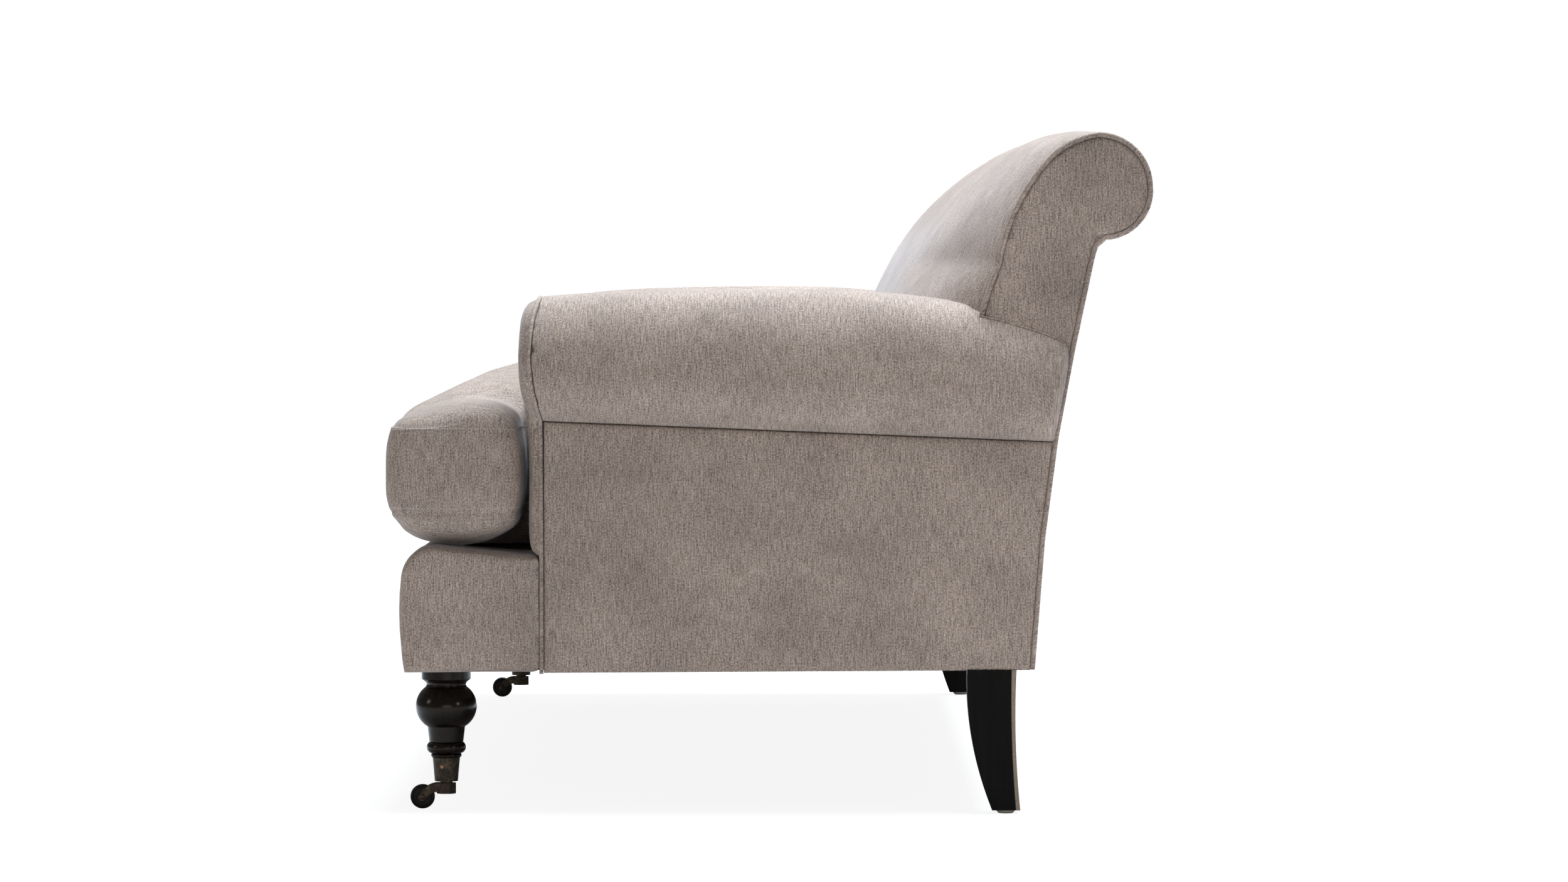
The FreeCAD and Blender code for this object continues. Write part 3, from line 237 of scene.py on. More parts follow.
def carved(thing, *rooms):
    """Cut the rooms of its neighbours out of a piece."""
    for room in rooms:
        modified(thing, "cut", "BOOLEAN", operation="DIFFERENCE", solver="EXACT", object=room)
    return baked(thing)


def removed(*things):
    """Delete helper objects."""
    for thing in things:
        bpy.data.objects.remove(thing)


def read(items, key, kind=float):
    """One attribute of every item: rows of three numbers, or whole numbers in one row."""
    width = 3 if kind is float else 1
    flat = np.zeros(len(items) * width, kind)
    items.foreach_get(key, flat)
    return flat.reshape(-1, width) if width > 1 else flat


def places(thing):
    """Vertex places of a piece in millimetres."""
    return read(thing.data.vertices, "co") / MM


def put(thing, points):
    """Move the vertices of a piece to places in millimetres."""
    thing.data.vertices.foreach_set("co", (np.asarray(points) * MM).astype(np.float32).ravel())
    thing.data.update()


def rumple(points, size, height, seed):
    """Soft lumps: how far each point stands proud, by noise of a size in millimetres."""
    shift = Vector((seed * 17.3, seed * 5.1, seed * 9.7))
    return np.array([noise.fractal(Vector(p) / size + shift, 1.0, 2.0, 3) for p in points]) * height


def flat_rumple(flat, size, height, seed):
    """Soft lumps over the points of a plane."""
    return rumple(np.hstack((flat, np.zeros((len(flat), 1)))), size, height, seed)


def drawn_in(points, centre, amount):
    """Points of a plane moved towards a centre by an amount."""
    way = np.asarray(centre) - points
    length = np.linalg.norm(way, axis=-1)[..., None]
    return points + way / length * amount


def normals_of(thing):
    """Vertex normals of a piece."""
    return read(thing.data.vertices, "normal")


def swollen(thing, amount):
    """Move each point of a piece out along its normal, by an amount in millimetres."""
    put(thing, places(thing) + normals_of(thing) * amount[:, None])
    return thing


# Materials

def operator(operation):
    """A method that adds a Math node."""
    return lambda self, other: self.math(operation, other)


class Signal:
    """A value in a node tree, on which arithmetic adds Math nodes."""

    def __init__(self, nodes, socket):
        self.nodes = nodes
        self.socket = socket

    def math(self, operation, *values):
        return self.nodes.node("ShaderNodeMath", self, *values, operation=operation)

    __add__ = __radd__ = operator("ADD")
    __mul__ = __rmul__ = operator("MULTIPLY")
    __sub__ = operator("SUBTRACT")
    __truediv__ = operator("DIVIDE")
    __pow__ = operator("POWER")

    def __rsub__(self, other):
        return self.nodes.node("ShaderNodeMath", other, self, operation="SUBTRACT")

    def rise(self, start, end):
        """0 below start, 1 above end, and a smooth rise between."""
        return self.nodes.node("ShaderNodeMapRange", interpolation_type="SMOOTHSTEP",
                               Value=self, From_Min=start, From_Max=end)


class Nodes:
    """A node tree and one way to add to it."""

    def __init__(self, tree):
        self.tree = tree

    def node(self, kind, *values, output=0, **named):
        """Add a node. Values go to its sockets in order. A named value in small letters is a
        setting; any other goes to the socket of that name, with _ for a space."""
        item = self.tree.nodes.new(kind)
        for key in filter(str.islower, named):
            setattr(item, key, named[key])
        sockets = {key: value for key, value in named.items() if not key.islower()}
        for key, value in (*enumerate(values), *sockets.items()):
            socket = self.find(item.inputs, key)
            if isinstance(value, Signal):
                self.tree.links.new(value.socket, socket)
            else:
                socket.default_value = value
        return Signal(self, self.find(item.outputs, output)) if len(item.outputs) else item

    @staticmethod
    def find(sockets, key):
        """A socket by its number, its identifier or else its name."""
        if isinstance(key, int):
            return sockets[key]
        found = [socket for socket in sockets if socket.identifier == key]
        return (found or [socket for socket in sockets if socket.name == key.replace("_", " ")])[0]


class Paint(Nodes):
    """A material."""

    def __init__(self, name):
        self.material = bpy.data.materials.new(name)
        self.material.use_nodes = True
        super().__init__(self.material.node_tree)
        self.tree.nodes.clear()

    def place(self):
        """The point on the object, in metres."""
        return self.node("ShaderNodeTexCoord", output="Object")

    def parts(self, vector=None):
        """The three numbers of a vector, or else of the point on the object."""
        split = self.node("ShaderNodeSeparateXYZ", vector or self.place())
        return [Signal(self, socket) for socket in split.socket.node.outputs]

    def noise(self, vector, scale, detail=2.0, rough=0.5):
        return self.node("ShaderNodeTexNoise", Vector=vector, Scale=scale, Detail=detail,
                         Roughness=rough)

    def fibres(self, stretched, detail=2.0, rough=0.5):
        """Noise drawn out by the scales that its three numbers already carry."""
        return self.noise(self.node("ShaderNodeCombineXYZ", *stretched), 1.0, detail, rough)

    def mix(self, factor, first, second, blend="MIX"):
        return self.node("ShaderNodeMix", data_type="RGBA", blend_type=blend, Factor_Float=factor,
                         A_Color=first, B_Color=second, output="Result_Color")

    def shade(self, colour, amount):
        """A colour made lighter or darker by a number around 1."""
        grey = self.node("ShaderNodeCombineXYZ", amount, amount, amount)
        return self.mix(1.0, colour, grey, "MULTIPLY")

    def bump(self, height, distance, strength):
        return self.node("ShaderNodeBump", Height=height, Distance=distance, Strength=strength)

    def finish(self, **values):
        """Close the material with its surface."""
        self.node("ShaderNodeOutputMaterial",
                  Surface=self.node("ShaderNodeBsdfPrincipled", **values))
        return self.material


def rgb(red, green, blue):
    """A colour given as the 0 to 255 numbers of a screen, in linear light."""
    linear = [(c / 255 / 12.92) if c < 10.3 else ((c / 255 + 0.055) / 1.055) ** 2.4
              for c in (red, green, blue)]
    return (*linear, 1.0)


def chenille(name, mapped=True):
    """Streaked taupe chenille: fine threads, slubs, warm and cool yarns, and a brushed nap."""
    paint = Paint(name)
    if mapped:
        across, length, _ = paint.parts(paint.node("ShaderNodeUVMap", uv_map="cloth"))
    else:
        x, y, z = paint.parts()
        across = x + y * 0.8 - z * 0.6
        length = x * 0.5 + z

    def yarns(wide, long, layer, detail=2.0, rough=0.5):
        return paint.fibres((across * wide, length * long, layer), detail, rough)

    threads = yarns(900.0, 62.0, 0.0, 3.0, 0.65)
    slubs = yarns(520.0, 430.0, 9.0, 2.0, 0.7)
    streaks = yarns(620.0, 42.0, 4.0, 2.0, 0.6)
    warm = yarns(380.0, 90.0, 21.0)
    cool = yarns(360.0, 80.0, 37.0)
    nap = paint.noise(paint.place(), 11.0, 4.0, 0.55)
    patch = paint.noise(paint.place(), 3.1)
    yarn = (threads.rise(0.3, 0.7) * 0.25 + slubs.rise(0.32, 0.68) * 0.5
            + streaks.rise(0.34, 0.66) * 0.25)
    colour = paint.mix(yarn, rgb(70, 58, 51), rgb(186, 168, 155))
    colour = paint.mix(warm.rise(0.55, 0.72) * 0.3, colour, rgb(136, 112, 101))
    colour = paint.mix(cool.rise(0.55, 0.72) * 0.26, colour, rgb(131, 123, 129))
    colour = paint.shade(colour, (nap - 0.5) * 0.62 + (patch - 0.5) * 0.4 + 1.0)
    return paint.finish(Base_Color=colour, Roughness=0.9 - 0.12 * nap,
                        Normal=paint.bump(threads * 0.5 + slubs * 0.5, 0.0006, 0.5),
                        Specular_IOR_Level=0.15, Sheen_Weight=0.26, Sheen_Roughness=0.3,
                        Sheen_Tint=rgb(236, 236, 242))


def platform_cloth():
    """Plain woven cloth on the seat deck."""
    paint = Paint("deck_cloth")
    x, y, _ = paint.parts()
    weave = (x * 5200.0).math("SINE") * (y * 5200.0).math("SINE")
    worn = paint.noise(paint.place(), 14.0, 3.0)
    colour = paint.mix(worn.rise(0.3, 0.7), rgb(88, 81, 75), rgb(112, 104, 97))
    return paint.finish(Base_Color=colour, Roughness=0.92, Specular_IOR_Level=0.15,
                        Normal=paint.bump(weave, 0.0003, 0.4))


def close_grain(paint):
    """The fine upright grain of the legs."""
    x, y, z = paint.parts()
    return paint.fibres((x * 160.0, y * 160.0, z * 9.0), 4.0, 0.6)


def espresso_wood():
    """Near-black lacquer over close grain."""
    paint = Paint("espresso_wood")
    grain = close_grain(paint)
    cloudy = paint.noise(paint.place(), 22.0)
    colour = paint.mix(grain.rise(0.35, 0.75) * 0.7, rgb(12, 9, 7), rgb(26, 19, 15))
    return paint.finish(Base_Color=colour, Roughness=0.17 + 0.08 * cloudy,
                        Specular_IOR_Level=0.13, Specular_Tint=rgb(255, 240, 224),
                        Coat_Weight=0.08, Coat_Roughness=0.1,
                        Normal=paint.bump(grain, 0.0004, 0.12))


def leg_lacquer_with_painted_highlight(rear_face, outer):
    """The rear leg's lacquer, with a pale painted highlight down the outer corner of its rear face,
    where light catches the rounded edge.
    """
    paint = Paint("espresso_wood_strip")
    x, y, z = paint.parts()
    grain = close_grain(paint)
    flecks = paint.noise(paint.place(), 300.0)
    (z0, y0), (z1, y1), (z2, y2) = rear_face
    edge = y0 + (y1 - y0) * (z - z0).math("DIVIDE", z1 - z0)
    bend = (z - z0) * (z - z1) / ((z2 - z0) * (z2 - z1))
    edge = edge + bend * (y2 - (y0 + (y1 - y0) * (z2 - z0) / (z1 - z0)))
    corner = x.math("ABSOLUTE").rise(outer - 0.005, outer - 0.0035)
    # Painted highlight: a pale band down the outer rear corner, standing in for light caught on the
    # rounded edge.
    painted_highlight = (y - edge).rise(-0.0056, -0.0050) * corner
    dark = paint.mix(grain.rise(0.35, 0.75) * 0.7, rgb(9, 8, 7), rgb(20, 16, 14))
    # The pale, flecked colour of the painted highlight.
    pale = paint.mix(flecks, rgb(112, 99, 86), rgb(150, 134, 118))
    return paint.finish(Base_Color=paint.mix(painted_highlight, dark, pale), Roughness=0.42 + 0.2 * painted_highlight,
                        Specular_IOR_Level=0.05, Normal=paint.bump(grain, 0.0004, 0.12))


def antique_metal(name, dark, light, rough):
    """Darkened cast metal, rubbed paler where it is touched."""
    paint = Paint(name)
    cast = paint.noise(paint.place(), 700.0, 3.0)
    rubbed = paint.noise(paint.place(), 120.0, 4.0, 0.65)
    colour = paint.mix(rubbed.rise(0.42, 0.68), rgb(*dark), rgb(*light))
    return paint.finish(Base_Color=colour, Metallic=0.75, Roughness=rough + 0.25 * rubbed,
                        Normal=paint.bump(cast, 0.0003, 0.25))


def raw_timber():
    """Sawn hardwood with its grain along the sofa."""
    paint = Paint("raw_timber")
    x, y, z = paint.parts()
    growth = paint.fibres((x * 3.0, y * 60.0, z * 60.0), 4.0, 0.6)
    pores = paint.fibres((x * 40.0, y * 900.0, z * 900.0))
    colour = paint.mix(growth.rise(0.3, 0.7), rgb(178, 139, 98), rgb(214, 181, 138))
    colour = paint.mix(pores.rise(0.6, 0.8) * 0.5, colour, rgb(120, 88, 60))
    return paint.finish(Base_Color=colour, Roughness=0.7 + 0.15 * pores,
                        Normal=paint.bump(pores, 0.0005, 0.3))


def spring_metal():
    """Drawn steel wire with a thin film of oil."""
    paint = Paint("spring_metal")
    x, y, _ = paint.parts()
    drawn = paint.fibres((x * 60.0, y * 1500.0, 0.0))
    colour = paint.mix(drawn, rgb(96, 97, 100), rgb(150, 151, 153))
    return paint.finish(Base_Color=colour, Metallic=0.95, Roughness=0.3 + 0.2 * drawn)


def strap_weave():
    """Ribbed elastic strap, darker along its ribs."""
    paint = Paint("strap_weave")
    x, _, z = paint.parts()
    ribs = (x * 1570.0).math("SINE") * 0.5 + 0.5
    picks = (z * 3100.0).math("SINE") * 0.5 + 0.5
    colour = paint.mix(ribs * 0.6 + picks * 0.4, rgb(92, 80, 66), rgb(146, 128, 104))
    return paint.finish(Base_Color=colour, Roughness=0.85,
                        Normal=paint.bump(ribs + picks, 0.0004, 0.5))


def dust_cloth():
    """Black felted cloth with short fibres."""
    paint = Paint("dust_cloth")
    felted = paint.noise(paint.place(), 900.0, 4.0, 0.7)
    pressed = paint.noise(paint.place(), 60.0)
    colour = paint.mix(felted.rise(0.35, 0.75), rgb(14, 14, 15), rgb(42, 41, 42))
    return paint.finish(Base_Color=colour, Roughness=0.9 + 0.08 * pressed,
                        Specular_IOR_Level=0.2, Normal=paint.bump(felted, 0.0004, 0.4))


def copper_metal():
    """The copper-toned screw in each ferrule."""
    paint = Paint("copper_metal")
    worn = paint.noise(paint.place(), 900.0, 3.0)
    colour = paint.mix(worn.rise(0.35, 0.7), rgb(120, 74, 56), rgb(214, 158, 128))
    return paint.finish(Base_Color=colour, Metallic=0.7, Roughness=0.32 + 0.2 * worn)


def glide_plastic():
    """Pale moulded glide, scuffed underneath."""
    paint = Paint("glide_plastic")
    _, _, z = paint.parts()
    scuffs = paint.noise(paint.place(), 420.0, 4.0, 0.7)
    foot = 1.0 - z.rise(0.0, 0.004)
    colour = paint.mix(scuffs.rise(0.4, 0.7) * foot, rgb(205, 201, 190), rgb(140, 135, 126))
    return paint.finish(Base_Color=colour, Roughness=0.42 + 0.3 * scuffs,
                        Normal=paint.bump(scuffs, 0.0002, 0.3))


def thread():
    """Sewing thread a little paler than the cloth."""
    paint = Paint("sewing_thread")
    twist = paint.noise(paint.place(), 1500.0, 1.0)
    colour = paint.mix(twist, rgb(160, 150, 140), rgb(206, 196, 186))
    return paint.finish(Base_Color=colour, Roughness=0.7)


def dress(thing, material):
    """Give a piece or frame node its material."""
    thing.data.materials.clear()
    thing.data.materials.append(material)
    return thing


# Lines of the photograph's side view, as (y, z)

REAR_LINE = ((342.0, 186.5), (355.0, 355.0), (372.0, 485.0), (393.0, 598.0), (418.0, 717.0),
             (423.0, 735.0))
ROLL = (424.4, 812.6)
ROLL_RADIUS = 72.3
# The scroll's end seam: how far from the scroll's middle it runs, by degrees.
SEAM_ROLL = ((-83.0, 71.5), (-42.0, 72.8), (0.0, 68.6), (45.0, 66.8), (90.0, 66.5))
UNDERCUT = (423.0, 735.0)
PANEL_THICK = 10.0


def rear_y(z):
    """The sofa's leaning rear line."""
    return np.interp(z, *np.transpose(REAR_LINE)[::-1])


def on_roll(radius, degrees):
    """A point of the scroll, counted from the rear, upwards."""
    turn = math.radians(degrees)
    return (ROLL[0] + radius * math.cos(turn), ROLL[1] + radius * math.sin(turn))


def on_seam(degrees, share, inset=0.0):
    """A point of the scroll between its end seam and its full round."""
    edge = np.interp(degrees, *np.transpose(SEAM_ROLL))
    return on_roll(edge + share * (max(ROLL_RADIUS, edge) - edge) - inset, degrees)


# Arms

ARM_CREST = ((ARM_FRONT, 667.0), (-110.0, 675.5), (60.0, 675.3), (271.0, 651.5), (387.5, 608.0))
UNDER_SEAM = ((ARM_FRONT, 508.0), (362.0, 482.0))
CREST_X = (ARM_INNER + ARM_OUTER) / 2
SHOULDER_DROP = 62.0
ROLL_SWELL = 3.3
TUCK = 9.0
DIAGONAL = math.sqrt(0.5)
# How far the seam round the arm's front stands forward, by height.
FRONT_BOW = ((330.0, 0.0), (508.0, 1.0), (550.0, 10.5), (592.0, 15.0), (640.0, 10.5), (668.0, 3.0))


def arm_top(y):
    """Height of the arm's crest along the sofa's depth, on one smooth curve through its points."""
    return sum(height * math.prod((y - other) / (here - other)
                                  for other, _ in ARM_CREST if other != here)
               for here, height in ARM_CREST)


def arm_under(y):
    """Height of the seam under the arm roll."""
    (y0, z0), (y1, z1) = UNDER_SEAM
    return z0 + (z1 - z0) * (y - y0) / (y1 - y0)


def arm_section(y, inset, swell=1.0, foot=ARM_LOW):
    """Closed section of the arm: inner face, roll, overhang and the hidden outer face."""
    top = arm_top(y) - inset
    under = arm_under(y) + inset
    inner = ARM_INNER + inset
    face = SIDE_FACE - inset
    outer = face + (ARM_OUTER - ROLL_SWELL - inset - face) * swell
    shoulder = arm_top(y) - SHOULDER_DROP
    middle = (top + under) / 2 + 4
    inner_round = (CREST_X - (CREST_X - inner) * DIAGONAL, shoulder + (top - shoulder) * DIAGONAL)
    outer_round = (CREST_X + (outer - CREST_X) * DIAGONAL, middle + (top - middle) * DIAGONAL)
    under_round = (face + (outer - face) * 0.8, under + (middle - under) * 0.32)
    ways = [(20, (inner, shoulder)), (14, inner_round, (CREST_X, top)),
            (16, outer_round, (outer, middle)), (12, under_round, (face, under))]
    if foot is not None:
        ways += [(2, (face - TUCK, under)), (6, (face - TUCK, foot)), (6, (inner + 10, foot))]
    return trace((inner, ARM_LOW if foot is None else foot), *ways)


def front_bow(z):
    """Forward stand of the arm's front seam at a height."""
    return np.interp(z, *np.transpose(FRONT_BOW))


def arm_rings(side, grow=0.0):
    """Sections of the arm from its front seam to the sofa's leaning rear line."""
    reach = rear_y(560.0) - PANEL_THICK - ARM_FRONT
    rings = []
    for share in spread(0.0, 1.0, 1 / 56, 0.35):
        y = ARM_FRONT + share * reach
        left_over = (1.0 - share) * reach
        swell = math.sqrt(max(0.0, 1 - max(0.0, 1 - left_over / 16.0) ** 2)) * 0.7 + 0.3
        ring = []
        for x, z in arm_section(y, -grow, swell):
            clear = 1.0 if x < BACK_HALF else 0.42
            end = rear_y(z) - (PANEL_THICK + 0.4) * clear + 2 * grow
            bow = front_bow(z) * max(0.0, 1 - share * 9)
            y_here = ARM_FRONT + share * (end - ARM_FRONT) - bow - grow * (1 - share)
            ring.append((side * x, y_here, z))
        rings.append(ring)
    return rings


def arm_cover(word, side):
    """Rolled arm with its overhang."""
    piece = shell("arm_cover_%s_soft" % word, arm_rings(side), Y)
    points = places(piece)
    shift = rumple(points, 130.0, 1.0, 3 + side) + rumple(points, 38.0, 0.45, 8 + side)
    loose = (eased(points[:, Z], 500.0, 540.0)
             * eased(side * points[:, X], ARM_INNER, ARM_INNER + 30))
    return softened(swollen(piece, shift * loose))


def facing_line(inset):
    """Outline of the arm's front, drawn in by inset, as (x, z)."""
    foot = DECK_TOP - 10.0 + inset
    ring = arm_section(ARM_FRONT, inset, foot=None)
    ring[:21] = trace((ring[0][0], foot), (20, ring[20]))
    corner = ring[-1]
    return ring + trace(corner, (14, (corner[0], foot)), (12, (ring[0][0] + 1, foot)))[1:]


# How a facing domes: share of its depth, and how far its edge has drawn in by then.
DOME = ((0.0, 3.2), (0.22, 3.6), (0.42, 5.0), (0.6, 7.6), (0.75, 11.5), (0.86, 17.0),
        (0.94, 25.0), (0.985, 35.0))
# How deep a facing is, how much less at its foot, and the line its middle closes on.
FACING_DEEP = 28.3
FACING_HOLLOW = 8.0
SPINE = ((990.0, 385.0), (1002.0, 590.0))


def arm_facing(word, side):
    """Domed pad on the arm's front."""
    rings = []
    for share, inset in DOME:
        ring = []
        for x, z in facing_line(inset):
            bow = front_bow(z)
            deep = FACING_DEEP - bow * 0.72 - FACING_HOLLOW * (1 - eased(z, 470.0, 570.0))
            ring.append((side * x, ARM_FRONT - 0.4 - bow - share * deep, z))
        rings.append(ring)
    last = np.array(rings[-1])
    start, end = (np.array((side * x, z)) for x, z in SPINE)
    way = end - start
    flat = last[:, [X, Z]]
    on_way = np.clip((flat - start) @ way / (way @ way), 0, 1)
    centre = start + on_way[:, None] * way
    for share in (0.3, 0.6, 0.85):
        ring = last.copy()
        ring[:, [X, Z]] = flat + (centre - flat) * share
        ring[:, Y] = last[:, Y] - 0.4 * share
        rings.append(ring)
    piece = shell("arm_front_facing_%s_soft" % word, rings, X, Z)
    return softened(swollen(piece, rumple(places(piece), 60.0, 0.7, 5 + side)))


# Panels: flat outlines filled with a fine net and padded a little

# Extra rows of points just inside an outline, where a pad's edge is rounded.
RIM_DEPTHS = (1.5, 5.0)


def filled(outline, step):
    """A net of triangles inside an outline, and each point's distance to the edge."""
    outline = np.asarray(outline, float)
    low_corner, high_corner = outline.min(0), outline.max(0)
    ends = np.roll(outline, -1, axis=0)
    ways = ends - outline
    grid = np.array([(a, b) for a in np.arange(low_corner[0] + step / 2, high_corner[0], step)
                     for b in np.arange(low_corner[1] + step / 2, high_corner[1], step)])

    def edge_distance(points):
        offset = points[:, None, :] - outline[None, :, :]
        share = np.clip((offset * ways).sum(2) / (ways * ways).sum(1), 0, 1)
        return np.linalg.norm(offset - share[..., None] * ways, axis=2).min(1)

    def inside(points):
        a, b = outline[None, :, :], ends[None, :, :]
        p = points[:, None, :]
        crosses = (a[..., 1] > p[..., 1]) != (b[..., 1] > p[..., 1])
        rise = np.where(a[..., 1] == b[..., 1], 1.0, b[..., 1] - a[..., 1])
        at = a[..., 0] + (p[..., 1] - a[..., 1]) / rise * (b[..., 0] - a[..., 0])
        return (crosses & (p[..., 0] < at)).sum(1) % 2 == 1

    grid = grid[inside(grid) & (edge_distance(grid) > step * 0.45)]
    inward = np.roll(outline, 1, axis=0) - ends
    length = np.linalg.norm(inward, axis=1)[:, None]
    inward = np.column_stack((inward[:, 1], -inward[:, 0])) / length
    rims = []
    for depth in RIM_DEPTHS:
        rim = outline + inward * depth
        if not inside(rim).mean() > 0.5:
            rim = outline - inward * depth
        rims.append(rim[inside(rim) & (edge_distance(rim) > depth * 0.8)])
    points = [Vector(p) for p in np.vstack([outline, grid] + rims)]
    net = delaunay_2d_cdt(points, [], [list(range(len(outline)))], 1, 1e-6)
    flat = np.array([tuple(p) for p in net[0]])
    return flat, [tuple(face) for face in net[2]], edge_distance(flat)


def even(points, step):
    """A closed outline with its points at even steps; given corners are kept."""
    made = []
    points = [tuple(p) for p in points]
    for a, b in zip(points, points[1:] + points[:1]):
        count = max(1, round(math.dist(a, b) / step))
        made += [(a[0] + (b[0] - a[0]) * k / count, a[1] + (b[1] - a[1]) * k / count)
                 for k in range(count)]
    return made


# How quickly a pad's edge rounds, how low it lies, and how far in its padding is full.
EDGE_ROUND = 2.2
EDGE_LOW = 2.4
PUFF_REACH = 60.0


def panel(name, outline, step, inner, outer, puff, lay, seed, lumps):
    """A thin pad between two planes, rounded at its edge and fuller in its middle. lay puts
    (a, b, out) into space; a counts the threads."""
    flat, faces, edge = filled(outline, step)
    low_edge = EDGE_LOW * np.exp(-edge / EDGE_ROUND)
    full = 1 - np.exp(-edge / PUFF_REACH)
    uneven = flat_rumple(flat, 90.0, lumps * 2, seed)
    out = outer - low_edge + puff * full + uneven * eased(edge, 4.0, 30.0)
    front = [lay(a, b, o) for (a, b), o in zip(flat, out)]
    back = [lay(a, b, inner) for a, b in flat]
    total = len(flat)
    shells = list(faces) + [tuple(v + total for v in face[::-1]) for face in faces]
    shells += [(b, a, a + total, b + total) for a, b in boundary(faces)]
    cloth = [flat[v % total] for face in shells for v in face]
    return outward(mesh_of(name, front + back, shells, cloth))


def boundary(faces):
    """The edges that only one face has, each in that face's direction."""
    seen = {}
    for face in faces:
        for a, b in zip(face, face[1:] + face[:1]):
            seen[(a, b)] = seen.get((a, b), 0) + 1
    return [(a, b) for a, b in seen if (b, a) not in seen]


def side_lay(side):
    """Panels on the sofa's end: (y, z, distance from the middle)."""
    return lambda y, z, out: (side * out, y, z)


def rear_corners(inset, start, end):
    """Corners up the rear line between two heights."""
    middle = [(y - inset, z) for y, z in REAR_LINE if start + 1 < z < end - 1]
    return [(rear_y(start) - inset, start)] + middle + [(rear_y(end) - inset, end)]


# The scene's cord is a little fuller than the frame's, and the panels come up to it.
CORD = 3.3
CORD_OUT = SIDE_FACE - CORD + 0.4
CORNER_ROOM = 2 * CORD - 0.9

# How far the lower edge hangs at the front, where that ends at the rear, over what depth it
# grows, and how far up the cloth gives way.
HEM_DROP = 5.0
HEM_REAR = 380.0
HEM_RUN = 850.0
HEM_GIVE = 45.0


def hem_drop(y):
    """How far the lower edge of the cloth hangs below the frame's edge; most at the front."""
    return HEM_DROP * np.clip((HEM_REAR - np.asarray(y)) / HEM_RUN, 0.0, 1.0)


def hemmed(thing):
    """Let a cover's lower edge hang."""
    points = places(thing)
    low_down = 1 - eased(points[:, Z], UNDERSIDE, UNDERSIDE + HEM_GIVE)
    points[:, Z] -= hem_drop(points[:, Y]) * low_down
    put(thing, points)
    return thing


def arm_panel(word, side):
    """Outside arm, from the seam under the roll to the bottom edge."""
    rear = rear_corners(CORNER_ROOM, UNDERSIDE, 481.0)
    top = [(y, arm_under(y) - 1.6) for y in np.linspace(rear[-1][0], ARM_FRONT, 12)]
    outline = even([(ARM_FRONT, UNDERSIDE)] + rear + top[1:], 9.0)
    piece = panel("outside_arm_panel_%s_soft" % word, outline, 9.0, PANEL_INNER + 0.2,
                  SIDE_FACE - 0.2, 1.2, side_lay(side), 11 + side, 0.55)
    return hemmed(piece)


# Back

SIDE_SEAM = {"foot": (262.0, 600.0), "to_hip": (275.5, 660.0), "hip": (294.5, 713.0),
             "to_brow": (322.0, 795.0), "brow": (360.0, 848.0), "to_top": (392.0, 870.0)}
MID_FRONT = {"foot": (SEAT_BACK, 600.0), "to_hip": (147.0, 657.0), "hip": (174.5, 713.0),
             "to_brow": (233.0, 796.0), "brow": (315.5, 863.0), "to_top": (367.0, 881.0)}


def crown(x, power):
    """Share of the crown at x, from 1 mid-sofa to 0 at the side seam."""
    return 1.0 - (abs(x) / BACK_HALF) ** power


def back_section(x):
    """Closed section of the back pad, from its foot over the scroll to the undercut."""
    low_share, share = crown(x, 12), crown(x, 4)

    def between(name, part):
        return tuple(a + part * (b - a) for a, b in zip(SIDE_SEAM[name], MID_FRONT[name]))

    foot = between("foot", low_share)
    tail = [(rear_y(z) - PANEL_THICK - 1.0, z) for z in (UNDERCUT[1], 600.0, 450.0, BACK_LOW)]
    mean_share = (share + low_share) / 2
    return trace((foot[0], BACK_LOW), (22, foot),
                 (10, between("to_hip", mean_share), between("hip", share)),
                 (12, between("to_brow", share), between("brow", mean_share)),
                 (8, between("to_top", low_share), on_seam(90, low_share)),
                 (12, on_seam(45, low_share), on_seam(0, low_share)),
                 (11, on_seam(-42, low_share), on_seam(-83, low_share)),
                 (3, UNDERCUT), (1, tail[0]), (5, tail[1]), (5, tail[2]), (5, tail[3]),
                 (8, (foot[0] + 6, BACK_LOW)))


def back_pad(rooms):
    """Tight crowned back that rolls over the scroll, cut clear of the arms."""
    half = BACK_HALF - 0.4
    rings = []
    for x in spread(-half, half, 19.0, 0.3):
        drawn = 1.4 * math.exp(-(half - abs(x)) / 4.0)
        ring = drawn_in(back_section(x), (ROLL[0] - 40, ROLL[1] - 40), drawn)
        rings.append(np.column_stack((np.full(len(ring), x), ring)))
    piece = shell("back_pad_soft", rings, X)
    points = places(piece)
    free = eased(BACK_HALF - abs(points[:, X]), 4.0, 60.0)
    lumps = rumple(points, 150.0, 1.2, 31) + rumple(points, 45.0, 0.5, 32)
    behind = eased(-points[:, Y], -470.0, -400.0)
    swollen(piece, lumps * free * behind)
    return carved(baked(softened(piece)), *rooms)


def side_seam(inset):
    """The side seam of the back, drawn inwards, as points from its foot to the undercut."""
    def drawn(name):
        return tuple(drawn_in(SIDE_SEAM[name], (480.0, 560.0), inset))

    tail = (UNDERCUT[0] - inset, UNDERCUT[1] - inset / 2)
    return trace(drawn("foot"), (14, drawn("to_hip"), drawn("hip")),
                 (14, drawn("to_brow"), drawn("brow")),
                 (8, drawn("to_top"), on_seam(90, 0, inset)),
                 (14, on_seam(45, 0, inset), on_seam(0, 0, inset)),
                 (14, on_seam(-42, 0, inset), on_seam(-83, 0, inset)), (2, tail))


def back_side_panel(word, side, rooms):
    """Padded end of the back, above the arm."""
    inset = CORNER_ROOM + 0.2
    seam = side_seam(inset)[:-2]
    seam += arc(seam[-1], on_seam(-87, 0, inset), on_seam(-92, 0, inset), 2)
    down = rear_corners(CORNER_ROOM, 588.0, 721.0)[::-1]
    outline = even(seam + down + [(seam[0][0], 588.0)], 8.0)
    piece = panel("back_side_panel_%s_soft" % word, outline, 8.0, PANEL_INNER + 0.2,
                  SIDE_FACE - 0.4, 1.6, side_lay(side), 17 + side, 0.6)
    return carved(piece, *rooms)


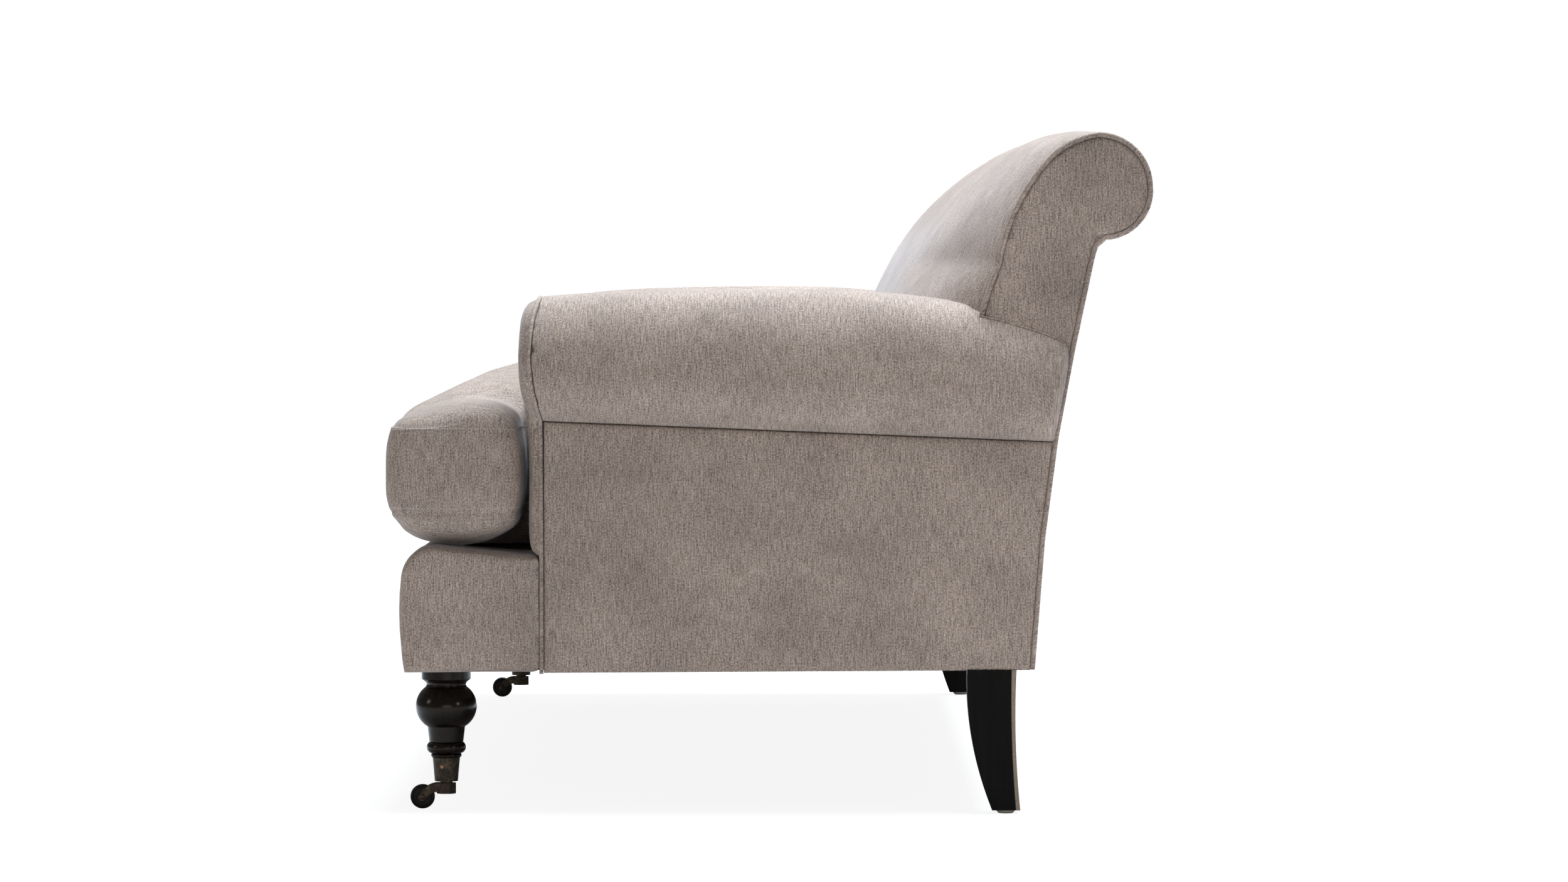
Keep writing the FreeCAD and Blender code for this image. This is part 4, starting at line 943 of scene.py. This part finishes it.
def outside_back():
    """Plain cover over the outside of the back."""
    heights = [186.5, 260.0, 355.0, 420.0, 485.0, 540.0, 598.0, 660.0, 717.0, 734.2]
    ladder = along([(rear_y(z), z) for z in heights])
    half = BACK_HALF - 0.4
    outline = even([(-half, 0.0), (half, 0.0), (half, ladder[-1]), (-half, ladder[-1])], 16.0)

    def lay(x, run, out):
        z = float(np.interp(run, ladder, heights))
        return (x, float(rear_y(z)) - PANEL_THICK + out, z)

    return panel("outside_back_panel_soft", outline, 16.0, 0.4, PANEL_THICK - 0.3, 0.8, lay, 23,
                 0.5)


# Front border and seat deck

def border_section(x):
    """Closed section of the front border; it reaches further back in front of an arm."""
    front = -473.2
    behind_rail = -427.8
    long = abs(x) > ARM_INNER
    rear = ARM_FRONT - CORNER_ROOM - 0.6 if long else behind_rail
    shoulder = eased(abs(x), ARM_INNER - 4.0, ARM_INNER + 40.0)
    crest = (-430.0 + 8 * shoulder, DECK_TOP + 6.5 * shoulder)
    fall = DECK_TOP - (5.6 if long else 0.6)
    return trace((front, UNDERSIDE),
                 (16, (front - 6.5, UNDERSIDE + 75), (front - 5, DECK_TOP - 34)),
                 (12, (front + 5, DECK_TOP - 9), crest), (12, (rear, fall)),
                 (12, (rear, UNDERSIDE)), (12, (front, UNDERSIDE)))


def front_border():
    """Padded border under the cushions, with a shoulder before each arm."""
    end = SIDE_FACE
    half = [(0.0, 0.0)] + [(x, 0.0) for x in spread(0.0, ARM_INNER - 1, 30.0)[1:]]
    half += [(ARM_INNER + 1, 0.0), (950.0, 0.0), (990.0, 0.0), (1025.0, 0.0), (1045.0, 0.3),
             (end - 15, 1.0), (end - 10, 2.0), (end - 6, 3.6), (end - 3, 6.0), (end - 1, 9.0),
             (end, 13.0), (end + 0.8, 24.0), (end + 1.2, 45.0), (end + 1.2, 62.0)]
    stations = [(-x, inset) for x, inset in reversed(half[1:])] + half
    rings = []
    for x, inset in stations:
        ring = np.array(border_section(x))
        centre = np.array((-370.0, 262.0)) if inset else ring.mean(0)
        move = np.minimum(inset, np.linalg.norm(centre - ring, axis=1) * 0.9)
        if inset <= 20:
            move[ring[:, 0] > -299.0] = 0.0
        ring = drawn_in(ring, centre, move[:, None])
        rings.append(np.column_stack((np.full(len(ring), x), ring)))
    piece = shell("front_border_soft", rings, X)
    points = places(piece)
    lumps = rumple(points, 110.0, 1.5, 41) + rumple(points, 35.0, 0.5, 42)
    free = eased(points[:, Z], UNDERSIDE, UNDERSIDE + 25)
    swollen(piece, lumps * free)
    cloth_by_facing(piece)
    return softened(hemmed(piece))


def cloth_by_facing(thing):
    """Lay the cloth on a piece by the way each face looks: its threads run up and down the
    sides and from front to back on top."""
    mesh = thing.data
    sizes = read(mesh.polygons, "loop_total", int)
    facing = np.repeat(np.abs(read(mesh.polygons, "normal")), sizes, axis=0)
    at = places(thing)[read(mesh.loops, "vertex_index", int)]
    end = (facing[:, X] > facing[:, Y]) & (facing[:, X] > facing[:, Z] * 0.85)
    top = ~end & (facing[:, Z] > facing[:, Y])
    lane = np.where(end, at[:, Y], at[:, X])
    run = np.where(top, at[:, Y], at[:, Z])
    lay_cloth(mesh, np.column_stack((lane, run)))


def seat_deck():
    """Padded deck under the cushions, a little uneven over the springs."""
    x_end, y0, y1 = ARM_INNER - 0.6, -427.4, SEAT_BACK - 0.6
    outline = even([(-x_end, y0), (x_end, y0), (x_end, y1), (-x_end, y1)], 24.0)
    return panel("seat_deck_soft", outline, 24.0, DECK_LOW, DECK_TOP - 3.0, 2.2,
                 lambda x, y, out: (x, y, out), 51, 0.2)


# Seat cushions

def released(work, name):
    """A new object of a mesh that was being worked on."""
    mesh = bpy.data.meshes.new(name)
    work.to_mesh(mesh)
    work.free()
    return linked(name, mesh)


def outer_shell(node, name):
    """A copy of a frame node's outermost skin, with its doubled points merged."""
    work = bmesh.new()
    work.from_mesh(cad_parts[node].data)
    bmesh.ops.remove_doubles(work, verts=work.verts, dist=1e-5)
    left, tallest, outermost = set(work.verts), -1.0, set()
    while left:
        front = [left.pop()]
        skin = set(front)
        while front:
            vertex = front.pop()
            near = {edge.other_vert(vertex) for edge in vertex.link_edges} & left
            left -= near
            skin |= near
            front += near
        heights = [vertex.co.z for vertex in skin]
        if max(heights) - min(heights) > tallest:
            tallest, outermost = max(heights) - min(heights), skin
    bmesh.ops.delete(work, geom=[v for v in work.verts if v not in outermost], context="VERTS")
    return released(work, name)


# Heights of the seams and of what bulges below the lower one, and depth of the seams.
SEAMS = (388.0, 496.0)
SEAM_GROOVES = (1.0, 0.35)
RIDGE_OFF_SEAM = 6.5
BOX_SAG = 374.0
BELLY = 368.0
VOXEL = 8.0
CLOTH = {"use_pressure": True, "uniform_pressure_force": 4.0, "vertex_group_mass": "seams",
         "mass": 0.05, "tension_stiffness": 12.0, "bending_stiffness": 0.4}
CLOTH_FRAMES = 20
MOST_DRIFT = 1.2


def from_seams(points):
    """How far each point of a cushion is above or below the nearer seam."""
    return np.min([np.abs(points[:, Z] - seam) for seam in SEAMS], axis=0)


def inflated(thing, least, most):
    """Blow a cover up between its seams with a cloth simulation, each point's push held
    between two limits."""
    before = places(thing)
    out = normals_of(thing)
    held = thing.vertex_groups.new(name=CLOTH["vertex_group_mass"])
    for index, weight in enumerate(1 - eased(from_seams(before), 2.0, 9.0)):
        if weight > 0.01:
            held.add([index], float(weight), "REPLACE")
    modifier = thing.modifiers.new("cover", "CLOTH")
    for key, value in CLOTH.items():
        setattr(modifier.settings, key, value)
    modifier.settings.effector_weights.gravity = 0.0
    modifier.collision_settings.use_collision = False
    modifier.point_cache.frame_end = CLOTH_FRAMES
    for step in range(1, CLOTH_FRAMES + 1):
        bpy.context.scene.frame_set(step)
    baked(thing)
    bpy.context.scene.frame_set(1)
    thing.vertex_groups.clear()
    moved = places(thing) - before
    push = (moved * out).sum(axis=1)
    drift = moved - out * push[:, None]
    far = np.maximum(np.linalg.norm(drift, axis=1), 1e-6)
    drift *= np.minimum(1.0, MOST_DRIFT / far)[:, None]
    loose = eased(from_seams(before), 1.0, 22.0)[:, None]
    put(thing, before + (out * np.clip(push, least, most)[:, None] + drift) * loose)
    return thing


def relaxed(thing, rounds):
    """Even out a skin by moving each point towards its neighbours."""
    def change(work):
        for _ in range(rounds):
            bmesh.ops.smooth_vert(work, verts=work.verts, factor=0.5,
                                  use_axis_x=True, use_axis_y=True, use_axis_z=True)

    return reworked(thing, change)


# How far the filling pushes a cushion's cover out, and how far back its ear may reach.
PUFF = 6.0
EAR_REAR = -316.5


def kept_clear(points, before, node_box):
    """Hold a cushion's points off its neighbours, the arm and the deck."""
    (x0, y0, z0), (x1, y1, z1) = node_box
    by_arm = np.abs(before[:, X]) < ARM_INNER + 1.0
    ear = ~by_arm
    free = 2.5 * ear
    points[:, X] = np.clip(points[:, X], x0 + 0.05 - free, x1 - 0.05 + free)
    points[by_arm, X] = np.clip(points[by_arm, X], 0.4 - ARM_INNER, ARM_INNER - 0.4)
    points[:, Y] = np.clip(points[:, Y], y0 - 1.5, y1 - 0.05)
    past = points[ear, Y] - EAR_REAR
    points[ear, Y] -= 2.0 * np.log1p(np.exp(np.minimum(past / 2.0, 30.0)))
    points[:, Z] = np.clip(points[:, Z], z0 + 0.1, z1 + 9.0)
    return points


def seat_cushion(word, node_box, seed):
    """A boxed, crowned cushion made from the frame's outline, blown up and drawn in at its
    seams."""
    piece = outer_shell("seat_cushion_" + word, "seat_cushion_%s_soft" % word)
    relaxed(baked(modified(piece, "even_net", "REMESH", mode="VOXEL", voxel_size=VOXEL * MM)), 4)
    inflated(piece, PUFF - 1.8, PUFF + 0.8)
    relaxed(piece, 2)
    before = points = places(baked(softened(piece)))
    out = normals_of(piece)
    upright = 1 - eased(np.abs(out[:, Z]), 0.55, 0.9)
    # The seams are drawn in, and the cloth stands up on either side of them.
    for seam, deep in zip(SEAMS, SEAM_GROOVES):
        groove = np.exp(-((points[:, Z] - seam) / 2.6) ** 2) * upright
        points = points - out * (groove * deep)[:, None]
        off_seam = np.abs(points[:, Z] - seam) - RIDGE_OFF_SEAM
        ridge = np.exp(-(off_seam / 4.0) ** 2) * upright
        points = points + out * (ridge * 0.35)[:, None]
    # Soft lumps all over, and small puckers where the boxing sags over its seam.
    lumps = rumple(points, 120.0, 2.0, seed) + rumple(points, 34.0, 0.9, seed + 1)
    sag = np.exp(-((points[:, Z] - BOX_SAG) / 16.0) ** 2)
    pucker = rumple(points * np.array((1.0, 1.0, 0.35)), 9.0, 0.8, seed + 2) * sag
    points = points + out * (lumps * 0.6 + pucker)[:, None]
    # The front edge is lower than the crown, the belly is rounder and the ear hangs less.
    from_front = points[:, Y] - node_box[0][Y]
    above = eased(points[:, Z], 496.0, 512.0)
    points[:, Z] -= above * 12.5 * np.exp(-((from_front - 34.0) / 62.0) ** 2)
    belly = np.exp(-((points[:, Z] - BELLY) / 13.0) ** 2)
    points[:, Y] += 7.0 * belly * (1 - eased(from_front, 20, 90))
    ear = eased(np.abs(points[:, X]), ARM_INNER - 90, ARM_INNER + 5)
    points[:, Z] += 7.0 * (ear * (1 - eased(points[:, Z], 350, 400)))
    put(piece, kept_clear(points, before, node_box))
    smooth(piece.data)
    cloth_by_facing(piece)
    return piece


# Piping and stitches follow curves, through Geometry Nodes

def curve_of(name, points, closed=False):
    """A poly curve through points in millimetres."""
    data = bpy.data.curves.new(name, "CURVE")
    data.dimensions = "3D"
    spline = data.splines.new("POLY")
    spline.points.add(len(points) - 1)
    for item, point in zip(spline.points, points):
        item.co = (*(np.asarray(point, float) * MM), 1.0)
    spline.use_cyclic_u = closed
    return linked(name, data)


class Recipe(Nodes):
    """A Geometry Nodes tree with named inputs: a geometry, numbers and a material."""

    def __init__(self, name, **sizes):
        tree = bpy.data.node_groups.new(name, "GeometryNodeTree")
        super().__init__(tree)
        tree.interface.new_socket("Geometry", in_out="INPUT", socket_type="NodeSocketGeometry")
        self.inputs = {}
        for key, value in (*sizes.items(), ("Material", None)):
            kind = "NodeSocketMaterial" if value is None else "NodeSocketFloat"
            socket = tree.interface.new_socket(key, in_out="INPUT", socket_type=kind)
            if value is not None:
                socket.default_value = value
            self.inputs[key] = socket.identifier
        tree.interface.new_socket("Geometry", in_out="OUTPUT", socket_type="NodeSocketGeometry")
        self.entry = tree.nodes.new("NodeGroupInput")

    def given(self, key):
        """The signal of a named input."""
        return Signal(self, self.entry.outputs[key])

    def close(self, geometry):
        """Make what the tree gives real, paint it and put it out."""
        real = self.node("GeometryNodeRealizeInstances", geometry)
        rounded = self.node("GeometryNodeSetShadeSmooth", real)
        painted = self.node("GeometryNodeSetMaterial", rounded, Material=self.given("Material"))
        end = self.tree.nodes.new("NodeGroupOutput")
        self.tree.links.new(painted.socket, end.inputs[0])
        return self

    def made(self, name, curve, **values):
        """The plain mesh that the tree makes of a curve."""
        modifier = curve.modifiers.new("recipe", "NODES")
        modifier.node_group = self.tree
        for key, value in values.items():
            modifier[self.inputs[key]] = value
        bpy.context.evaluated_depsgraph_get().update()
        mesh = evaluated_mesh(curve)
        removed(curve)
        mesh.name = name
        return linked(name, mesh)


def piping_recipe():
    """A filled cord along a curve, a little uneven where its cloth is gathered."""
    recipe = Recipe("piping_along", Radius=PIPING * MM, Gather=0.0002, Ridge=0.045, Pitch=0.0044,
                    Seed=0.0)
    node, given = recipe.node, recipe.given
    line = node("GeometryNodeResampleCurve", mode="LENGTH", Curve=given("Geometry"),
                Length=given("Pitch") * 0.25)
    run = node("GeometryNodeSplineParameter", output="Length")
    wave = (run * math.tau / given("Pitch")).math("SINE")
    line = node("GeometryNodeSetCurveRadius", Curve=line, Radius=wave * given("Ridge") + 1.0)
    ring = node("GeometryNodeCurvePrimitiveCircle", Resolution=12, Radius=given("Radius"))
    cord = node("GeometryNodeCurveToMesh", Curve=line, Profile_Curve=ring, Fill_Caps=True)
    bumps = node("ShaderNodeTexNoise", noise_dimensions="4D", W=given("Seed"), Scale=160.0,
                 Vector=node("GeometryNodeInputPosition"))
    shift = node("ShaderNodeVectorMath", node("GeometryNodeInputNormal"), operation="SCALE",
                 Scale=(bumps - 0.5) * given("Gather") * 3.0)
    return recipe.close(node("GeometryNodeSetPosition", Geometry=cord, Offset=shift))


def stitch_recipe():
    """Short thread stitches at an even pitch along a curve."""
    recipe = Recipe("stitches_along", Pitch=0.004, Thread=0.0004, Fill=0.62)
    node, given = recipe.node, recipe.given
    line = node("GeometryNodeResampleCurve", mode="LENGTH", Curve=given("Geometry"),
                Length=given("Pitch"))
    rod = node("GeometryNodeMeshCylinder", Vertices=6, Side_Segments=1, Radius=given("Thread"),
               Depth=given("Pitch") * given("Fill"))
    turned = node("FunctionNodeAlignRotationToVector", axis="Z",
                  Vector=node("GeometryNodeInputTangent"))
    return recipe.close(node("GeometryNodeInstanceOnPoints", Points=line, Instance=rod,
                             Rotation=turned))


# Build

cloth = chenille("taupe_chenille")
cord_cloth = chenille("taupe_chenille_bias", mapped=False)
wood = espresso_wood()
timber = raw_timber()
steel = spring_metal()
straps = strap_weave()
felt = dust_cloth()
bronze = antique_metal("antique_bronze", (46, 38, 30), (80, 69, 55), 0.38)
wheel_metal = antique_metal("dark_wheel", (18, 16, 14), (42, 38, 33), 0.34)
copper = copper_metal()
nylon = glide_plastic()
sewing = thread()
deck_weave = platform_cloth()
# The rear legs' lacquer carries a painted highlight down its outer rear corner.
# The rear leg's rear face as heights and depths in metres, and its outer face.
painted_highlight_wood = leg_lacquer_with_painted_highlight(((0.005, 0.3239), (0.072, 0.3195), (0.15, 0.3177)),
                        float(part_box("rear_leg_right")[1][X]))

NODE_PAINT = {
    "front_leg": wood, "rear_leg": painted_highlight_wood, "caster_ferrules": bronze, "caster_fork": bronze,
    "caster_axle": bronze, "caster_wheel": wheel_metal, "ferrule_screws": copper,
    "rear_glides": nylon, "back_webbing": straps, "seat_springs": steel, "spring_clips": steel,
    "leg_bolts": steel, "frame_screws": steel,
}
for name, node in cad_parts.items():
    dress(node, NODE_PAINT.get(name.removesuffix("_left").removesuffix("_right"), timber))


def settle(piece, body, slot, material, *nodes, fill=None):
    """Say what a piece rides on, stands for and is finished in."""
    dress(piece, material)
    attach(piece, body)
    if nodes:
        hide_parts(*nodes)
    return piece


arm_rooms = {word: shell("arm_room_" + word, arm_rings(side, 0.05), Y) for word, side in SIDES}


def cover(piece, node, fill, material=cloth):
    """Settle a cover that is fixed to the sofa."""
    settle(piece, "sofa", "upholstery", material, node, fill=fill)


cover(back_pad(list(arm_rooms.values())), "back_pad", 0.8)
cover(outside_back(), "outside_back_panel", 0.9)
cover(front_border(), "front_border", 0.8)
cover(seat_deck(), "seat_deck_pad", 0.7, deck_weave)
for word, side in SIDES:
    cover(arm_cover(word, side), "arm_cover_" + word, 0.8)
    cover(arm_facing(word, side), "arm_front_facing_" + word, 0.8)
    cover(arm_panel(word, side), "outside_arm_panel_" + word, 0.9)
    cover(back_side_panel(word, side, [arm_rooms[word]]), "back_side_panel_" + word, 0.8)
removed(*arm_rooms.values())


def joined(name, things):
    """Several plain meshes as one piece."""
    work = bmesh.new()
    for thing in things:
        work.from_mesh(thing.data)
    removed(*things)
    return released(work, name)


def skin_of(piece):
    """A piece's surface, to lay lines on."""
    return BVHTree.FromObject(piece, bpy.context.evaluated_depsgraph_get())


def cushion_seams(piece, outline, z, lift):
    """A seam's path laid on a cushion's skin."""
    skin = skin_of(piece)
    path = []
    for x, y in outline:
        spot, normal, _, _ = skin.find_nearest(Vector((x, y, z)) * MM)
        path.append(tuple((spot + normal * lift * MM) / MM))
    return path


SEAM_STEP = 7.0
CORNER_RADIUS = 34.0


def plan_outline(corners):
    """Outline of a cushion in plan, with round corners."""
    made = []
    count = len(corners)
    for index in range(count):
        before, here, after = (np.array(corners[(index + k) % count], float) for k in (-1, 0, 1))
        start = here + (before - here) / np.linalg.norm(before - here) * CORNER_RADIUS
        end = here + (after - here) / np.linalg.norm(after - here) * CORNER_RADIUS
        middle = here + ((start + end) / 2 - here) * (2 - math.sqrt(2))
        made += [tuple(start)] + arc(tuple(start), tuple(middle), tuple(end), 8)
    return even(made, SEAM_STEP)


pipes = piping_recipe()
stitches = stitch_recipe()
third = low("seat_cushion_right", X)
front, rear = low("seat_cushion_middle", Y), high("seat_cushion_middle", Y)
ear_x, ear_rear, main_x = high("seat_cushion_right", X), -322.0, ARM_INNER - 0.3
middle = third - 0.6
middle_plan = [(-middle, front), (middle, front), (middle, rear), (-middle, rear)]
right_plan = [(third, front), (ear_x, front), (ear_x, ear_rear), (main_x, ear_rear),
              (main_x, rear), (third, rear)]
left_plan = [(-x, y) for x, y in reversed(right_plan)]
CUSHIONS = (("left", left_plan, 60), ("middle", middle_plan, 70), ("right", right_plan, 80))

for word, plan, seed in CUSHIONS:
    box = (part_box("seat_cushion_" + word)[0] / MM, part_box("seat_cushion_" + word)[1] / MM)
    cushion = seat_cushion(word, box, seed)
    outline = plan_outline(plan)
    settle(cushion, "cushion_" + word, "upholstery", cloth,
           "seat_cushion_" + word, "cushion_core_" + word, fill=0.85)
    rows = []
    for z, size in ((SEAMS[0] + RIDGE_OFF_SEAM, 0.42), (SEAMS[0] - 12.5, 0.32),
                    (SEAMS[1] + 2.0, 0.42)):
        line = curve_of("row", cushion_seams(cushion, outline, z, 0.1), closed=True)
        rows.append(stitches.made("row", line, Thread=size * MM, Material=sewing))
    settle(joined("cushion_stitches_" + word, rows), "cushion_" + word, "upholstery", sewing)

for word, side in SIDES:
    outline = [(x, z) for x, z in arm_section(ARM_FRONT, PIPING - 0.4, foot=None)
               if z > DECK_TOP - 8]
    foot = UNDERSIDE - hem_drop(ARM_FRONT) - 1.2
    outline += [(outline[-1][0], z) for z in np.linspace(outline[-1][1], foot, 40)[1:]]
    path = [(side * x, ARM_FRONT - PIPING - 0.5 - front_bow(z), z) for x, z in outline]
    piece = pipes.made("arm_front_piping_%s_soft" % word, curve_of("line", path),
                       Seed=float(side), Material=cord_cloth)
    settle(piece, "sofa", "piping", cord_cloth, "arm_front_piping_" + word)

    x = side * CORD_OUT
    over = [(x, y, z) for y, z in side_seam(CORD - 0.8) if z > 640.0]
    down = [(x, rear_y(z) - CORD + 0.7, z) for z in np.linspace(724.0, UNDERSIDE + 0.5, 60)]
    piece = pipes.made("back_piping_%s_soft" % word, curve_of("line", over + down),
                       Radius=CORD * MM, Seed=float(side) + 5, Material=cord_cloth)
    settle(piece, "sofa", "piping", cord_cloth, "back_piping_" + word)


def joint_welt(word, side):
    """The folded welt where the back's end meets the arm, laid along the arm's top."""
    skin = skin_of(bpy.data.objects["arm_cover_%s_soft" % word])
    path = []
    for y in np.linspace(270.0, 384.0, 60):
        spot, _, _, _ = skin.ray_cast(Vector((side * (SIDE_FACE + 0.5), y, 760.0)) * MM, -UP)
        path.append((spot.x / MM, y, spot.z / MM + 0.7))
    return pipes.made("joint_welt_%s" % word, curve_of("line", path),
                      Radius=1.5 * MM, Seed=float(side) + 9, Material=cord_cloth)


for word, side in SIDES:
    settle(joint_welt(word, side), "sofa", "piping", cord_cloth)


def dust_sheet():
    """Black cloth under the frame, tight along its edges and a little slack between."""
    (x0, y0, z0), (x1, y1, _) = (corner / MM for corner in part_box("dust_cover"))
    outline = even([(x0, y0), (x1, y0), (x1, y1), (x0, y1)], 28.0)
    flat, faces, edge = filled(outline, 28.0)
    sag = flat_rumple(flat, 160.0, 1.2, 91)
    drop = 0.25 + (1.2 + sag) * eased(edge, 5.0, 160.0)
    points = [(x, y, z0 + 0.1 - max(0.0, d)) for (x, y), d in zip(flat, drop)]
    piece = mesh_of("dust_cover_cloth", points, faces, [flat[v] for f in faces for v in f])
    modified(piece, "cloth_thickness", "SOLIDIFY", thickness=0.8 * MM, offset=0.0)
    return outward(baked(piece)), (x1 - x0) * MM, (y1 - y0) * MM


sheet, wide, deep = dust_sheet()
settle(sheet, "sofa", "dust_cloth", felt, "dust_cover")

# Studio: white room, soft lamps and the camera at the sofa's right-hand end

PHOTO_WIDE, PHOTO_HIGH = 2500, 1406
# The lens's length and the width lines' meeting point in pixels of that frame.
FOCUS = 9065.0
VANISHING = (1278.0, 442.0)
SENSOR = 36.0
CAMERA_AT = (8.394, 0.0415, 0.693)


def placed(name, data, place, way):
    """A camera or lamp at a place, turned to look along a way."""
    thing = linked(name, data)
    thing.location = place
    thing.rotation_mode = "QUATERNION"
    thing.rotation_quaternion = way.to_track_quat("-Z", "Y")
    return thing


def add_camera():
    """The photograph's camera, aimed so that the width lines meet where they do there."""
    data = bpy.data.cameras.new("camera")
    data.sensor_width = SENSOR
    data.lens = FOCUS / PHOTO_WIDE * SENSOR
    data.clip_end = 60.0
    right = (VANISHING[0] - PHOTO_WIDE / 2) / FOCUS
    up = (PHOTO_HIGH / 2 - VANISHING[1]) / FOCUS
    way = Vector((-1.0, -right, -up)).normalized()
    bpy.context.scene.camera = placed("camera", data, CAMERA_AT, way)


def add_lamp(name, place, target, size, power, colour):
    """A soft oblong lamp aimed at a point."""
    data = bpy.data.lights.new(name, "AREA")
    data.shape = "RECTANGLE"
    data.size, data.size_y = size
    data.energy = power
    data.color = colour
    placed(name, data, place, Vector(target) - Vector(place))


def white_world():
    """Even grey light, seen as white."""
    world = bpy.data.worlds.new("studio")
    world.use_nodes = True
    nodes = Nodes(world.node_tree)
    nodes.tree.nodes.clear()
    rays = nodes.node("ShaderNodeLightPath", output="Is Camera Ray")
    strength = rays * (1.0 - WORLD_LIGHT) + WORLD_LIGHT
    back = nodes.node("ShaderNodeBackground", Color=(1, 1, 1, 1), Strength=strength)
    nodes.node("ShaderNodeOutputWorld", Surface=back)
    bpy.context.scene.world = world


def white_floor():
    """A pale floor that stays white to the camera but keeps a soft shadow."""
    half = 30.0 / MM
    floor = mesh_of("studio_floor", [(a * half, b * half, 0.0)
                                     for a, b in ((-1, -1), (1, -1), (1, 1), (-1, 1))],
                    [(0, 1, 2, 3)])
    paint = Paint("studio_floor")
    rays = paint.node("ShaderNodeLightPath", output="Is Camera Ray")
    x, y, _ = paint.parts()
    far = ((x * x + y * y) ** 0.5).rise(*SHADOW_ENDS)
    lit = paint.node("ShaderNodeBsdfDiffuse", Color=(0.9, 0.9, 0.9, 1))
    plain = paint.node("ShaderNodeEmission", Color=(1, 1, 1, 1), Strength=FLOOR_GLOW)
    whiter = rays * (far * (1.0 - FLOOR_WHITE) + FLOOR_WHITE)
    paint.node("ShaderNodeOutputMaterial",
               Surface=paint.node("ShaderNodeMixShader", whiter, lit, plain))
    dress(floor, paint.material)


WORLD_LIGHT = 0.22
FLOOR_WHITE = 0.76
FLOOR_GLOW = 1.17
SHADOW_ENDS = (1.9, 3.6)
DAYLIGHT = (1.0, 0.955, 0.91)
add_camera()
white_world()
white_floor()
add_lamp("overhead", (0.0, 0.5, 3.4), (0.0, 0.05, 0.5), (3.2, 2.2), 365.0, (0.80, 0.905, 1.0))
add_lamp("far_glow", (-4.6, 0.8, 3.3), (0.2, 0.0, 0.6), (3.0, 2.2), 45.0, (0.92, 0.96, 1.0))
add_lamp("front_left", (2.3, -4.2, 1.5), (0.6, 0.0, 0.5), (0.7, 0.9), 16.0, DAYLIGHT)
add_lamp("right_rear", (4.4, 3.6, 1.4), (0.8, 0.0, 0.5), (0.7, 0.9), 20.0, DAYLIGHT)
add_lamp("right_fill", (6.0, 0.2, 0.4), (1.0, 0.0, 0.45), (3.0, 0.9), 24.0, (1.0, 0.95, 0.9))

bpy.context.scene.view_settings.view_transform = "Standard"
